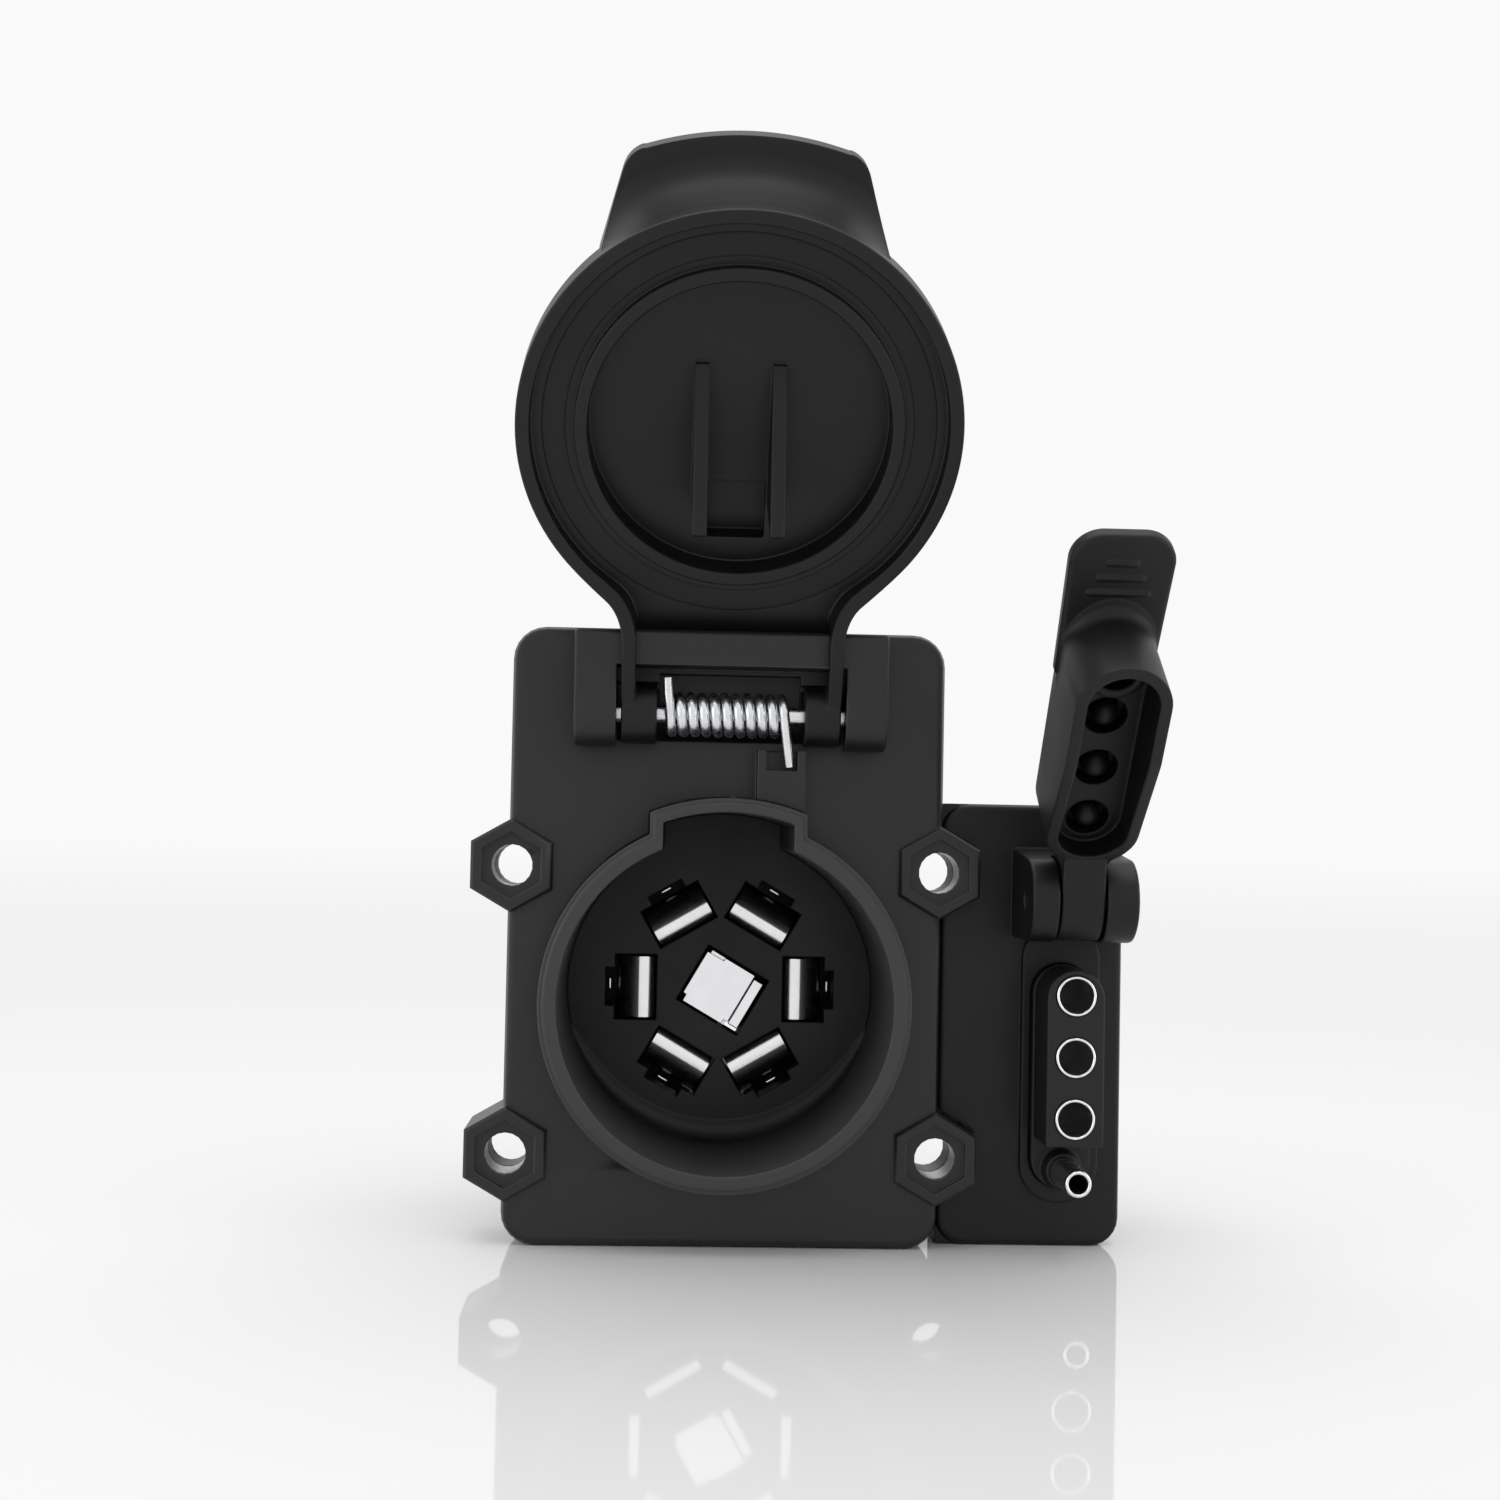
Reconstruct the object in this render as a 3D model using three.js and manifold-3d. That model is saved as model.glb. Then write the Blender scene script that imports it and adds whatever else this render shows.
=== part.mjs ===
// Trailer wiring connector: a vehicle-side socket with a round blade socket and a flat connector.
// Millimetres, +Z up, +X to the right of someone facing the sockets, who looks along +Y.
// The faceplate lies in the plane y = 0 while the parts are shaped; the whole is moved at the end
// so that the origin is the middle of the bounding box's bottom face.
import * as THREE from 'three'
import { mergeVertices } from 'three/addons/utils/BufferGeometryUtils.js'
import Module from 'manifold-3d'

const wasm = await Module()
wasm.setup()

const { PI, sin, cos, sqrt, atan2, hypot } = Math
const GAP = 0.15 // between moulded pieces that sit in one another

// faceplate flange and the narrower body behind it
const HOUSING = { width: 61, height: 86.4, corner: 4.6, flange: 12.5, wall: 2.8, depth: 40 }
const REAR = { halfWidth: 25.8, low: 3.2, high: 83, corner: 4 }
// round socket
const SOCKET = { z: 34.3, bore: 23, rim: 25.6, front: -8, face: 22.5, back: 29 }
const KEY = { bore: 26.4, boreHalf: 8.95, rim: 28.4, rimHalf: 10.8 }
// mounting bosses, two at each side
const BOSS = { x: 30, z: [12.8, 52.8], flats: 11.4, recess: 8.2, hole: 2.9, front: -1, sleeve: 3.6 }
// lid hinge
const LID_AXIS = { y: -3.3, z: 74.2 }
const BLOCK = { half: 21.6, ear: 15.8, front: -8, top: 85.6, cut: 4.95 }
const LID_TILT = 30.5 // degrees that the open lid leans forward from upright
const LID = {
  reach: 39.9, rim: 29.4, lip: 27.5, neck: 15.1, fillet: 6, knuckle: 4.2,
  floor: -4.9, edge: -2.4, ring: 21.8, disc: 20, back: -15.6,
}
// flat connector: its housing, connector body and cap hinge
const FLAT = { left: 30.8, right: 57.1, top: 62.7, front: 4, flange: 12.2, depth: 30, x: 48.1 }
const FLAT_REAR = { left: 36.2, right: 54, low: 4, high: 58.6 }
const TUBES = [19.7, 28.1, 36.5]
const PIN_Z = 11.4
const CAP_AXIS = { y: -6.5, z: 49.6 }
const CAP_TILT = 38.5 // degrees that the open cap leans forward from upright

// ---------- helpers ----------

// the solid inside a closed geometry
function solid(geometry) {
  const g = geometry.clone()
  g.deleteAttribute('normal')
  if (g.getAttribute('uv')) g.deleteAttribute('uv')
  const m = mergeVertices(g, 1e-4)
  const triVerts = new Uint32Array(m.getIndex().array)
  const make = () => new wasm.Manifold(new wasm.Mesh({
    numProp: 3, vertProperties: new Float32Array(m.getAttribute('position').array), triVerts,
  }))
  const body = make()
  if (body.volume() > 0) return body
  triVerts.reverse() // the faces looked inwards
  return make()
}

const union = (first, ...rest) => rest.reduce((a, b) => a.add(b), first)
const cut = (first, ...rest) => rest.reduce((a, b) => a.subtract(b), first)

// a closed geometry around a solid
function geometryOf(body) {
  const { vertProperties, triVerts, numProp } = body.getMesh()
  const points = new Float32Array((vertProperties.length / numProp) * 3)
  for (let i = 0; i < points.length / 3; i++) {
    for (let k = 0; k < 3; k++) points[3 * i + k] = vertProperties[numProp * i + k]
  }
  const g = new THREE.BufferGeometry()
  g.setAttribute('position', new THREE.BufferAttribute(points, 3))
  g.setIndex([...triVerts])
  return g
}

const box = (x0, x1, y0, y1, z0, z1) => solid(new THREE.BoxGeometry(x1 - x0, y1 - y0, z1 - z0)
  .translate((x0 + x1) / 2, (y0 + y1) / 2, (z0 + z1) / 2))

// a cylinder about the x, y or z direction, from a to b, through (p, q) in the other two
function rod(way, r, a, b, p = 0, q = 0, sides = 24, r2 = r) {
  const g = new THREE.CylinderGeometry(r2, r, b - a, sides).translate(0, (a + b) / 2, 0)
  if (way === 'x') return solid(g.rotateZ(-PI / 2).translate(0, p, q))
  if (way === 'y') return solid(g.translate(p, 0, q))
  return solid(g.rotateX(PI / 2).translate(p, q, 0))
}

// a shape extruded; edge rounds both ends' rims by that much
function extruded(shape, depth, edge = 0, arcs = 24, rounds = 2) {
  return new THREE.ExtrudeGeometry(shape, {
    depth: depth - 2 * edge, curveSegments: arcs, bevelEnabled: edge > 0,
    bevelThickness: edge, bevelSize: edge, bevelOffset: -edge, bevelSegments: rounds,
  }).translate(0, 0, edge)
}

// a shape drawn in x and z, standing between the depths y0 and y1
const alongY = (shape, y0, y1, edge, arcs, rounds) =>
  solid(extruded(shape, y1 - y0, edge, arcs, rounds).rotateX(PI / 2).translate(0, y1, 0))

// a shape drawn in x and y, standing between the heights z0 and z1
const alongZ = (shape, z0, z1, edge, arcs, rounds) =>
  solid(extruded(shape, z1 - z0, edge, arcs, rounds).translate(0, 0, z0))

// a shape drawn in y and z, standing between x0 and x1
const CYCLE = new THREE.Matrix4().makeBasis(
  new THREE.Vector3(0, 1, 0), new THREE.Vector3(0, 0, 1), new THREE.Vector3(1, 0, 0))
const alongX = (shape, x0, x1, edge, arcs, rounds) =>
  solid(extruded(shape, x1 - x0, edge, arcs, rounds).applyMatrix4(CYCLE).translate(x0, 0, 0))

// a closed profile of [radius, y] turned about the y direction, through (x, z)
const turned = (profile, x = 0, z = 0, sides = 48) => solid(new THREE.LatheGeometry(
  profile.map(([r, y]) => new THREE.Vector2(r, y)), sides).translate(x, 0, z))

// a closed profile of [radius, z] turned about the z direction, through (0, along)
const turnedUp = (profile, along, sides) => solid(new THREE.LatheGeometry(
  profile.map(([r, z]) => new THREE.Vector2(r, z)), sides).rotateX(PI / 2).translate(0, along, 0))

function polygon(points) {
  const s = new THREE.Shape()
  points.forEach(([a, b], i) => (i ? s.lineTo(a, b) : s.moveTo(a, b)))
  s.closePath()
  return s
}

function roundedRect(x0, x1, z0, z1, r) {
  const s = new THREE.Shape()
  s.moveTo(x0 + r, z0)
  s.absarc(x1 - r, z0 + r, r, -PI / 2, 0)
  s.absarc(x1 - r, z1 - r, r, 0, PI / 2)
  s.absarc(x0 + r, z1 - r, r, PI / 2, PI)
  s.absarc(x0 + r, z0 + r, r, PI, 1.5 * PI)
  s.closePath()
  return s
}

// a regular outline with the given width across flats, a corner up
const ngon = (sides, flats, x, z, turn = PI / 2) => polygon([...Array(sides).keys()].map((k) => {
  const a = turn + (2 * PI * k) / sides
  const r = flats / 2 / cos(PI / sides)
  return [x + r * cos(a), z + r * sin(a)]
}))

// a circle with a wider key at the top, centred on the socket
function keyed(r, keyR, keyHalf, z = SOCKET.z) {
  const a = atan2(sqrt(r * r - keyHalf * keyHalf), keyHalf)
  const b = atan2(sqrt(keyR * keyR - keyHalf * keyHalf), keyHalf)
  const s = new THREE.Shape()
  s.moveTo(keyHalf, z + r * sin(a))
  s.absarc(0, z, keyR, b, PI - b)
  s.absarc(0, z, r, PI - a, 2 * PI + a)
  s.closePath()
  return s
}

const group = new THREE.Group()

const FINISH = {
  housing: [0x2b2b2c, 0.48, 0],
  insert: [0x262627, 0.55, 0],
  rubber: [0x222223, 0.7, 0],
  contact: [0xd9dadd, 0.22, 1],
  steel: [0xc4c6ca, 0.28, 1],
  zinc: [0xb9bcc0, 0.45, 1],
}

function add(name, body, finish, place = null) {
  const [color, roughness, metalness] = FINISH[finish]
  const g = geometryOf(body)
  if (place) g.applyMatrix4(place)
  const mesh = new THREE.Mesh(g, new THREE.MeshStandardMaterial({ color, roughness, metalness }))
  mesh.name = name
  group.add(mesh)
}

// ---------- main housing ----------

const bossPlaces = [-1, 1].flatMap((side) => BOSS.z.map((z) => [side * BOSS.x, z]))

// the flange, the rear body and the hollow inside them
function housingShell() {
  const { width, height, corner, flange, wall, depth } = HOUSING
  const { halfWidth: h, low, high } = REAR
  const plate = alongY(roundedRect(-width / 2, width / 2, 0, height, corner), 0, flange, 1.3, 3, 2)
  const body = alongY(roundedRect(-h, h, low, high, REAR.corner), flange - 2, depth, 0, 3)
  const w = 2.4
  const hollow = alongY(roundedRect(-h + w, h - w, low + w, high - w, 2.4), wall, depth + 1, 0, 2)
  return cut(union(plate, body), hollow)
}

// corner posts that take the rear screws
const SCREWS = [-1, 1].flatMap((side) => [9, 77.2].map((z) => [side * 19.6, z]))
function screwPosts() {
  return SCREWS.map(([x, z]) => {
    const out = Math.sign(x) * 4.4
    const web = box(Math.min(x, x + out), Math.max(x, x + out), 12, HOUSING.depth - 2, z - 1, z + 1)
    return union(rod('y', 3, HOUSING.wall - 0.4, HOUSING.depth - 2, x, z, 10), web)
  })
}

// the block that carries the lid: flat in front above the hinge line, a quarter round below it
function hingeBlock() {
  const { half, front, top } = BLOCK
  const { y, z } = LID_AXIS
  const r = y - front
  const s = new THREE.Shape()
  s.moveTo(1, z - r)
  s.absarc(y, z, r, -PI / 2, -PI, true)
  s.lineTo(front, top - 1)
  s.absarc(front + 1, top - 1, 1, PI, PI / 2, true)
  s.lineTo(1, top)
  s.closePath()
  return alongX(s, -half, half, 0.5, 5, 2)
}

// the room between the ears for knuckles and spring, and the deeper one behind the coil
function hingeRoom() {
  const { y, z } = LID_AXIS
  const { ear, cut: r } = BLOCK
  const round = rod('x', r, -ear, ear, y, z, 28)
  const front = box(-ear, ear, BLOCK.front - 1, y + 2, z, z + 6.5)
  const low = box(-ear, ear, BLOCK.front - 1, y, z - r - 0.4, z)
  const coil = box(-9.9, 9.9, BLOCK.front - 1, y + 4.9, z - 1, z + 5.8)
  return union(round, front, low, coil)
}

// the small block under the hinge with the pocket for the spring's fixed leg
function springSeat() {
  const seat = box(3.9, 10.6, -4.6, 0.5, 57, 69.4)
  return cut(seat, box(5.1, 9.4, -5, -0.4, 66.6, 70))
}

// ribs under the rear body, level with the flange, that the part stands on
const feet = () => [-1, 1].map((side) => box(side * 15 - 1.2, side * 15 + 1.2, HOUSING.flange - 1.5,
  HOUSING.depth - 2, 0, REAR.low + 1))

function mainHousing() {
  const barrelHole = alongY(keyed(SOCKET.rim + GAP, KEY.rim + GAP, KEY.rimHalf + GAP), -9, 60, 0, 22)
  const backing = box(-11.5, 11.5, 1, 4.2, 67, 82)
  let body = union(housingShell(), hingeBlock(), backing, ...feet(), ...screwPosts())
  body = cut(body, hingeRoom())
  body = union(body, springSeat())
  body = cut(body, barrelHole, rod('x', 1.35, -BLOCK.half - 1, BLOCK.half + 1, LID_AXIS.y, LID_AXIS.z, 20))
  for (const [x, z] of bossPlaces) {
    const column = alongY(ngon(6, BOSS.flats, x, z), BOSS.front, HOUSING.flange, 0.35, 1, 1)
    const recess = alongY(ngon(6, BOSS.recess, x, z), BOSS.front - 1, BOSS.front + 0.8, 0)
    const seat = rod('y', BOSS.sleeve + 0.1, 0.8, 6.6, x, z, 18)
    body = cut(union(body, column), recess, rod('y', BOSS.hole, -3, 14, x, z, 18), seat)
  }
  for (const [x, z] of SCREWS) body = cut(body, rod('y', 1.3, HOUSING.depth - 16, HOUSING.depth, x, z, 10))
  return body
}

// a bright bush held in the middle of each mounting hole
const sleeve = (x, z) => turned([[2.9, 0.95], [3.6, 0.95], [3.6, 6.45], [2.9, 6.45], [2.9, 0.95]], x, z, 18)

// ---------- round socket ----------

// the raised ring and the wall of the socket, with the key slot at the top
function socketBarrel() {
  const { front, rim, bore, back } = SOCKET
  const wall = alongY(keyed(rim, KEY.rim, KEY.rimHalf), front, back + 3, 0, 22)
  const shoulder = alongY(keyed(rim + 3, KEY.rim + 3, KEY.rimHalf + 3), front - 1, front + 0.6, 0, 22)
  const raised = alongY(keyed(rim - 0.7, KEY.rim - 0.55, KEY.rimHalf - 0.55), front - 2, front + 2, 0, 22)
  const hollow = alongY(keyed(bore, KEY.bore, KEY.boreHalf), front - 1, back + 4, 0, 22)
  return cut(wall, cut(shoulder, raised), hollow)
}

const BLADES = [...Array(6).keys()].map((k) => (k * PI) / 3)
const WINDOW = { centre: 12.7, radial: 6.4, wide: 9.9, relief: 1.4, reliefWide: 5.8 }
const SEAT_TURN = -PI / 6

// a solid made at the socket's centre with "outwards" along +x, turned to an angle round it
const aroundSocket = (angle) => new THREE.Matrix4().makeTranslation(0, 0, SOCKET.z)
  .multiply(new THREE.Matrix4().makeRotationY(-angle))

function moved(body, matrix) {
  return solid(geometryOf(body).applyMatrix4(matrix))
}

function windowCut(angle) {
  const { centre: c, radial, wide, relief, reliefWide } = WINDOW
  const main = box(c - radial / 2, c + radial / 2, 10, 40, -wide / 2, wide / 2)
  const outer = box(c, c + radial / 2 + relief, 10, 40, -reliefWide / 2, reliefWide / 2)
  return moved(union(main, outer), aroundSocket(angle))
}

// the moulded face at the bottom of the socket, rounded up into the wall
function contactCarrier() {
  const { bore, face, back } = SOCKET
  const disc = alongY(keyed(bore - GAP, KEY.bore - GAP, KEY.boreHalf - GAP), face, back, 0, 22)
  const r = bore - GAP
  const rise = 3.6
  const cove = [[r, back - 1], [r, face - rise]]
  for (let k = 0; k <= 3; k++) {
    const a = (PI / 2) * (k / 3)
    cove.push([r - 0.3 - rise * (1 - cos(a)), face - rise * (1 - sin(a)) + (k === 3 ? 0.1 : 0)])
  }
  cove.push([r - 0.3 - rise, back - 1], [r, back - 1])
  const seat = moved(box(-4.8, 6, 10, 40, -4.8, 4.8), aroundSocket(SEAT_TURN))
  return cut(union(disc, turned(cove, 0, SOCKET.z, 40)), ...BLADES.map(windowCut), seat)
}

// a strip of sheet bent to a line through points of [out, y], as wide as half to each side
function strip(points, half, thick) {
  const side = (sign) => points.map(([x, y], i) => {
    const [ax, ay] = points[Math.max(i - 1, 0)]
    const [bx, by] = points[Math.min(i + 1, points.length - 1)]
    const l = hypot(bx - ax, by - ay)
    return [x - (sign * thick * (by - ay)) / l / 2, y + (sign * thick * (bx - ax)) / l / 2]
  })
  return alongZ(polygon([...side(-1), ...side(1).reverse()]), -half, half)
}

// spring blade: a leg behind, a rolled crest in the window, and a long slope outwards
function bladeContact() {
  const c = WINDOW.centre
  const f = SOCKET.face
  const line = [[c - 2.65, f + 12], [c - 2.65, f + 2]]
  for (let k = 1; k <= 6; k++) {
    const a = PI - (k * PI) / 12
    line.push([c - 1.25 + 1.4 * cos(a), f + 2 - 1.4 * sin(a)])
  }
  for (let k = 0; k <= 8; k++) {
    const a = PI / 2 - (k * PI) / 18
    line.push([c - 0.4 + 3.2 * cos(a), f + 5.6 - 5 * sin(a)])
  }
  line.push([c + 2.4, f + 9])
  const wide = strip(line, 4.6, 0.5)
  const heel = box(c - 2.84, c - 2.46, f + 11, f + 17, -2.2, 2.2)
  const hook = strip([[c + 2.3, f + 8.6], [c + 3.9, f + 7], [c + 3.9, f + 2.6]], 2.4, 0.45)
  return union(wide, heel, hook)
}

// centre contact: a folded clip with a bright flat front and a hemmed strip beside it
function centreContact() {
  const f = SOCKET.face
  const clip = box(-4.45, 3.9, f - 0.9, f + 9, -4.4, 4.4)
  const inside = box(-3.8, 3.3, f - 0.2, f + 20, -5, 5)
  const notch = box(-5, -3.9, f - 2, f + 1.5, -5, -3.4)
  const hem = box(3.7, 5.4, f - 0.35, f + 0.35, -3.9, 3.9)
  const tail = box(-4.45, -3.8, f + 8, f + 16, -2.2, 2.2)
  return union(cut(clip, inside, notch), hem, tail)
}

// ---------- lid ----------

// the lid's own frame: x across, y from the hinge to the thumb tab, z towards the socket it shuts
const lidPlace = new THREE.Matrix4().makeTranslation(0, LID_AXIS.y, LID_AXIS.z)
  .multiply(new THREE.Matrix4().makeRotationX(((90 + LID_TILT) * PI) / 180))

// round at the far end, drawn in by a fillet to a neck of the given half width
function lidOutline(r, neck, fillet, low) {
  const c = LID.reach
  const fy = c - sqrt((r + fillet) ** 2 - (neck + fillet) ** 2)
  const a = atan2(c - fy, -(neck + fillet))
  const s = new THREE.Shape()
  s.moveTo(neck, low)
  s.lineTo(neck, fy)
  s.absarc(neck + fillet, fy, fillet, PI, a, true)
  s.absarc(0, c, r, a - PI, 2 * PI - a)
  s.absarc(-neck - fillet, fy, fillet, PI - a, 0, true)
  s.lineTo(-neck, low)
  s.closePath()
  return s
}

// the arms: the lip's wall carried on down the neck and over the hinge block, a knuckle inside each end
function lidArms() {
  const s = new THREE.Shape()
  const { knuckle: r, edge, neck, rim, lip, fillet } = LID
  s.moveTo(0, 0)
  s.lineTo(r * cos(0.8), r * sin(0.8))
  s.lineTo(8.4, 2.9)
  s.bezierCurveTo(13, 2.9, 15, edge, 20, edge)
  s.lineTo(20, -7.7)
  s.lineTo(12.4, -7.7)
  s.lineTo(12.4, -1.4)
  s.lineTo(8, 1.15)
  s.lineTo(3.6, -2.1)
  s.closePath()
  const wall = cut(
    alongZ(lidOutline(rim, neck, fillet, -6), -7.7, 4, 0, 16),
    alongZ(lidOutline(lip, neck - 1.9, fillet + 1.9, -8), -9, 6, 0, 16))
  return union(wall.intersect(alongX(s, -25, 25, 0, 6)),
    rod('x', r, -neck, -10.2, 0, 0, 24), rod('x', r, 10.2, neck, 0, 0, 24))
}

// a wedge inside the lid: flush at the tab side, tall at the hinge side
function lidRib(x) {
  const root = LID.disc - 27.9
  const s = polygon([[48, root], [48, root + 0.7], [28.7, 4.6], [28.3, 4.2], [28.3, root]])
  return alongX(s, x - 0.95, x + 0.95, 0)
}

// the finger tab: a flare turned about the lid's middle, cut to the tab's outline
function thumbTab() {
  const { back, reach, lip, rim } = LID
  const point = (r, z) => new THREE.Vector2(r, z)
  const hollow = new THREE.CubicBezierCurve(
    point(33.7, back + 2.9), point(31.1, -11.4), point(29.8, -9), point(rim - 0.2, -3.8)).getPoints(5)
  const flare = [[0, back], [38, back], [38, back + 2.8], ...hollow.map((p) => [p.x, p.y]), [0, -3.8]]
  const plan = new THREE.Shape()
  plan.moveTo(-19.2, 60)
  plan.lineTo(-16, 71)
  plan.quadraticCurveTo(-15.3, 73.6, -13, 74.3)
  plan.quadraticCurveTo(0, 78.3, 13, 74.3)
  plan.quadraticCurveTo(15.3, 73.6, 16, 71)
  plan.lineTo(19.2, 60)
  plan.closePath()
  const tab = turnedUp(flare, reach, 60).intersect(alongZ(plan, back - 1, 0, 0, 5))
  return cut(tab, rod('z', lip, back - 1, 0, 0, reach, 36))
}

function lidBody() {
  const { rim, lip, neck, fillet, reach: c, floor, edge, ring, disc, back } = LID
  const plate = alongZ(lidOutline(rim, neck, fillet, 11.4), -7.7, floor, 0, 16)
  const wall = cut(
    alongZ(lidOutline(rim, neck, fillet, 16), -7.7, edge, 0, 16),
    alongZ(lidOutline(lip, neck - 1.9, fillet + 1.9, 10), floor, 0, 0, 16),
    box(-20, 20, 0, 12.6, floor, 0))
  // the deep round outside: [radius, z]
  const dome = [[0, -6.5], [rim, -6.5], [rim - 1.8, back + 2]]
  for (let k = 1; k <= 3; k++) {
    dome.push([rim - 3.8 + 2 * cos((k * PI) / 6), back + 2 - 2 * sin((k * PI) / 6)])
  }
  // a shallow groove, then the slightly domed middle
  dome.push([20.5, back - 0.6], [19.9, back], [18.6, back], [18, back - 0.7],
    [9, back - 1.3], [0, back - 1.5])
  const body = union(plate, wall, turnedUp(dome, c, 40),
    rod('z', ring, -6.5, floor + 1.5, 0, c, 40), thumbTab())
  const dished = cut(body, rod('z', disc, floor - 3, 0, 0, c, 40))
  const ribbed = union(dished, lidRib(-5.1), lidRib(5.1), lidArms())
  const sealGroove = cut(rod('z', 26.4, floor - 0.8, 0, 0, c, 40), rod('z', 22.6, -9, 1, 0, c, 40),
    box(-30, 30, -20, c - 19, -9, 3))
  const pocket = box(-3.9, 3.9, 23.4, 31.6, floor - 6.2, -6)
  return cut(ribbed, sealGroove, pocket, rod('x', 1.4, -16, 16, 0, 0, 20))
}

// the flat rubber ring let into the lid's floor; its ends stop short of the neck
function lidSeal() {
  const c = LID.reach
  const low = LID.floor - 0.7
  return cut(rod('z', 26.1, low, LID.floor + 0.1, 0, c, 40), rod('z', 22.9, -9, 0, 0, c, 40),
    box(-30, 30, -20, c - 18.8, -9, 3))
}

// ---------- lid spring ----------

class SpringLine extends THREE.Curve {
  // a leg that stands up in front, ten turns from left to right, and a leg down into its seat
  getPoint(t, target = new THREE.Vector3()) {
    const { y, z } = LID_AXIS
    const r = 2.55
    const [x0, x1] = [-8.4, 7.4]
    const [up, down] = [0.05, 0.95]
    if (t < up) {
      const s = 1 - t / up
      return target.set(x0 - 0.4 * s, y - r - 0.6 * s, z + 4.9 * s)
    }
    if (t <= down) {
      const s = (t - up) / (down - up)
      const a = 20 * PI * s
      return target.set(x0 + s * (x1 - x0), y - r * cos(a), z - r * sin(a))
    }
    const s = (t - down) / (1 - down)
    return target.set(x1 + 0.9 * s, y - r + 1.9 * s, z - 6.9 * s)
  }
}

function lidSpring() {
  const wire = new THREE.Shape()
  wire.absarc(0, 0, 0.62, 0, 2 * PI)
  return solid(new THREE.ExtrudeGeometry(wire, {
    steps: 130, curveSegments: 3, bevelEnabled: false, extrudePath: new SpringLine(),
  }))
}

// ---------- flat connector ----------

// a slot with round ends
function slot(x, half, low, high) {
  const s = new THREE.Shape()
  s.absarc(x, low + half, half, PI, 2 * PI)
  s.absarc(x, high - half, half, 0, PI)
  s.closePath()
  return s
}

// flat at the bottom, round at the top
function tombstone(x, half, low, high) {
  const s = new THREE.Shape()
  s.moveTo(x - half, low)
  s.lineTo(x + half, low)
  s.absarc(x, high - half, half, 0, PI)
  s.closePath()
  return s
}

// the two ears that carry the cap, on a bracket that stands well forward
function capBracket() {
  const { y, z } = CAP_AXIS
  const r = 5.8
  const s = new THREE.Shape()
  s.moveTo(FLAT.front + 1, z - r)
  s.lineTo(y, z - r)
  s.absarc(y, z, r, -PI / 2, -1.5 * PI, true)
  s.lineTo(FLAT.front + 1, z + r + 1.2)
  s.closePath()
  const ears = alongX(s, FLAT.x - 7, FLAT.x + 7.7, 0.5, 7, 2)
  const between = union(rod('x', r + 0.9, FLAT.x - 3.3, FLAT.x + 3.3, y, z, 24),
    box(FLAT.x - 3.3, FLAT.x + 3.3, -20, y, z - 8, z + 8))
  return cut(ears, between, rod('x', 1.4, FLAT.x - 9, FLAT.x + 9, y, z, 20))
}

function flatHousing() {
  const { left, right, top, front, flange, depth, x } = FLAT
  const plate = alongY(roundedRect(left, right, 0, top, 4), front, flange, 1, 3, 2)
  const square = cut(alongY(roundedRect(left, right, 0, top, 0.6), front + 1, flange, 0, 2),
    box(left + 5, right + 1, 0, front + 30, -1, top + 1))
  const { left: rl, right: rr, low, high } = FLAT_REAR
  const body = alongY(roundedRect(rl, rr, low, high, 3), flange - 2, depth, 0, 3)
  const hollow = alongY(roundedRect(rl + 2, rr - 2, low + 2, high - 2, 2), front + 2.4, depth + 1, 0, 2)
  const step = alongY(roundedRect(x - 5.6, x + 5.6, 6.4, 46, 5.3), front - 1, front + 1, 0.2, 5, 1)
  let shell = union(cut(union(plate, square, body), hollow), step, capBracket())
  for (const [sx, z] of FLAT_SCREWS) shell = union(shell, rod('y', 3, front + 2, depth - 2, sx, z, 14))
  shell = cut(shell, alongY(slot(x, 4.2 + GAP, 8.6 - GAP, 40.2 + GAP), -1, 40, 0, 7))
  for (const z of BOSS.z) shell = cut(shell, alongY(ngon(6, BOSS.flats + 0.6, BOSS.x, z), -4, 40, 0))
  for (const [sx, z] of FLAT_SCREWS) shell = cut(shell, rod('y', 1.1, depth - 12, depth, sx, z, 12))
  return shell
}
const FLAT_SCREWS = [8.6, 54].map((z) => [FLAT_REAR.left + 4, z])

// the moulding that holds the tubes and the bare pin
function flatConnectorBody() {
  const { x } = FLAT
  const base = alongY(slot(x, 4.2, 8.6, 40.2), 1.5, 24, 0, 7)
  const block = alongY(tombstone(x, 3.95, 15.9, 40), -8, 2, 0, 7)
  const collar = rod('y', 2.7, -0.6, 2, x, PIN_Z, 16, 3)
  let body = union(base, block, collar)
  for (const z of TUBES) body = cut(body, rod('y', 2.85, -10, 30, x, z, 20))
  return cut(body, rod('y', 2.05, -10, 30, x, PIN_Z, 16))
}

const femaleContact = (z) => turned(
  [[2.35, -8.15], [2.5, -8.3], [2.75, -8.2], [2.75, 20], [2.35, 20], [2.35, -8.15]], FLAT.x, z, 20)

// a hollow pin with a rounded, narrowed nose
const malePin = () => turned([
  [1.2, -10.6], [1.5, -11], [1.8, -10.7], [1.95, -9.4], [1.95, 20], [1.2, 20], [1.2, -10.6],
], FLAT.x, PIN_Z, 16)

// ---------- cap ----------

// the cap's own frame: x across from its middle, y from its hinge outwards, z towards the pins
const capPlace = new THREE.Matrix4().makeTranslation(FLAT.x, CAP_AXIS.y, CAP_AXIS.z)
  .multiply(new THREE.Matrix4().makeRotationX(((90 + CAP_TILT) * PI) / 180))
const CAP_ROWS = [...TUBES].reverse().map((z) => CAP_AXIS.z - z)
const CAP_PIN_ROW = CAP_AXIS.z - PIN_Z
const CAP = { back: -8.6, floor: -1.9, rim: 6.8 }

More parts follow.
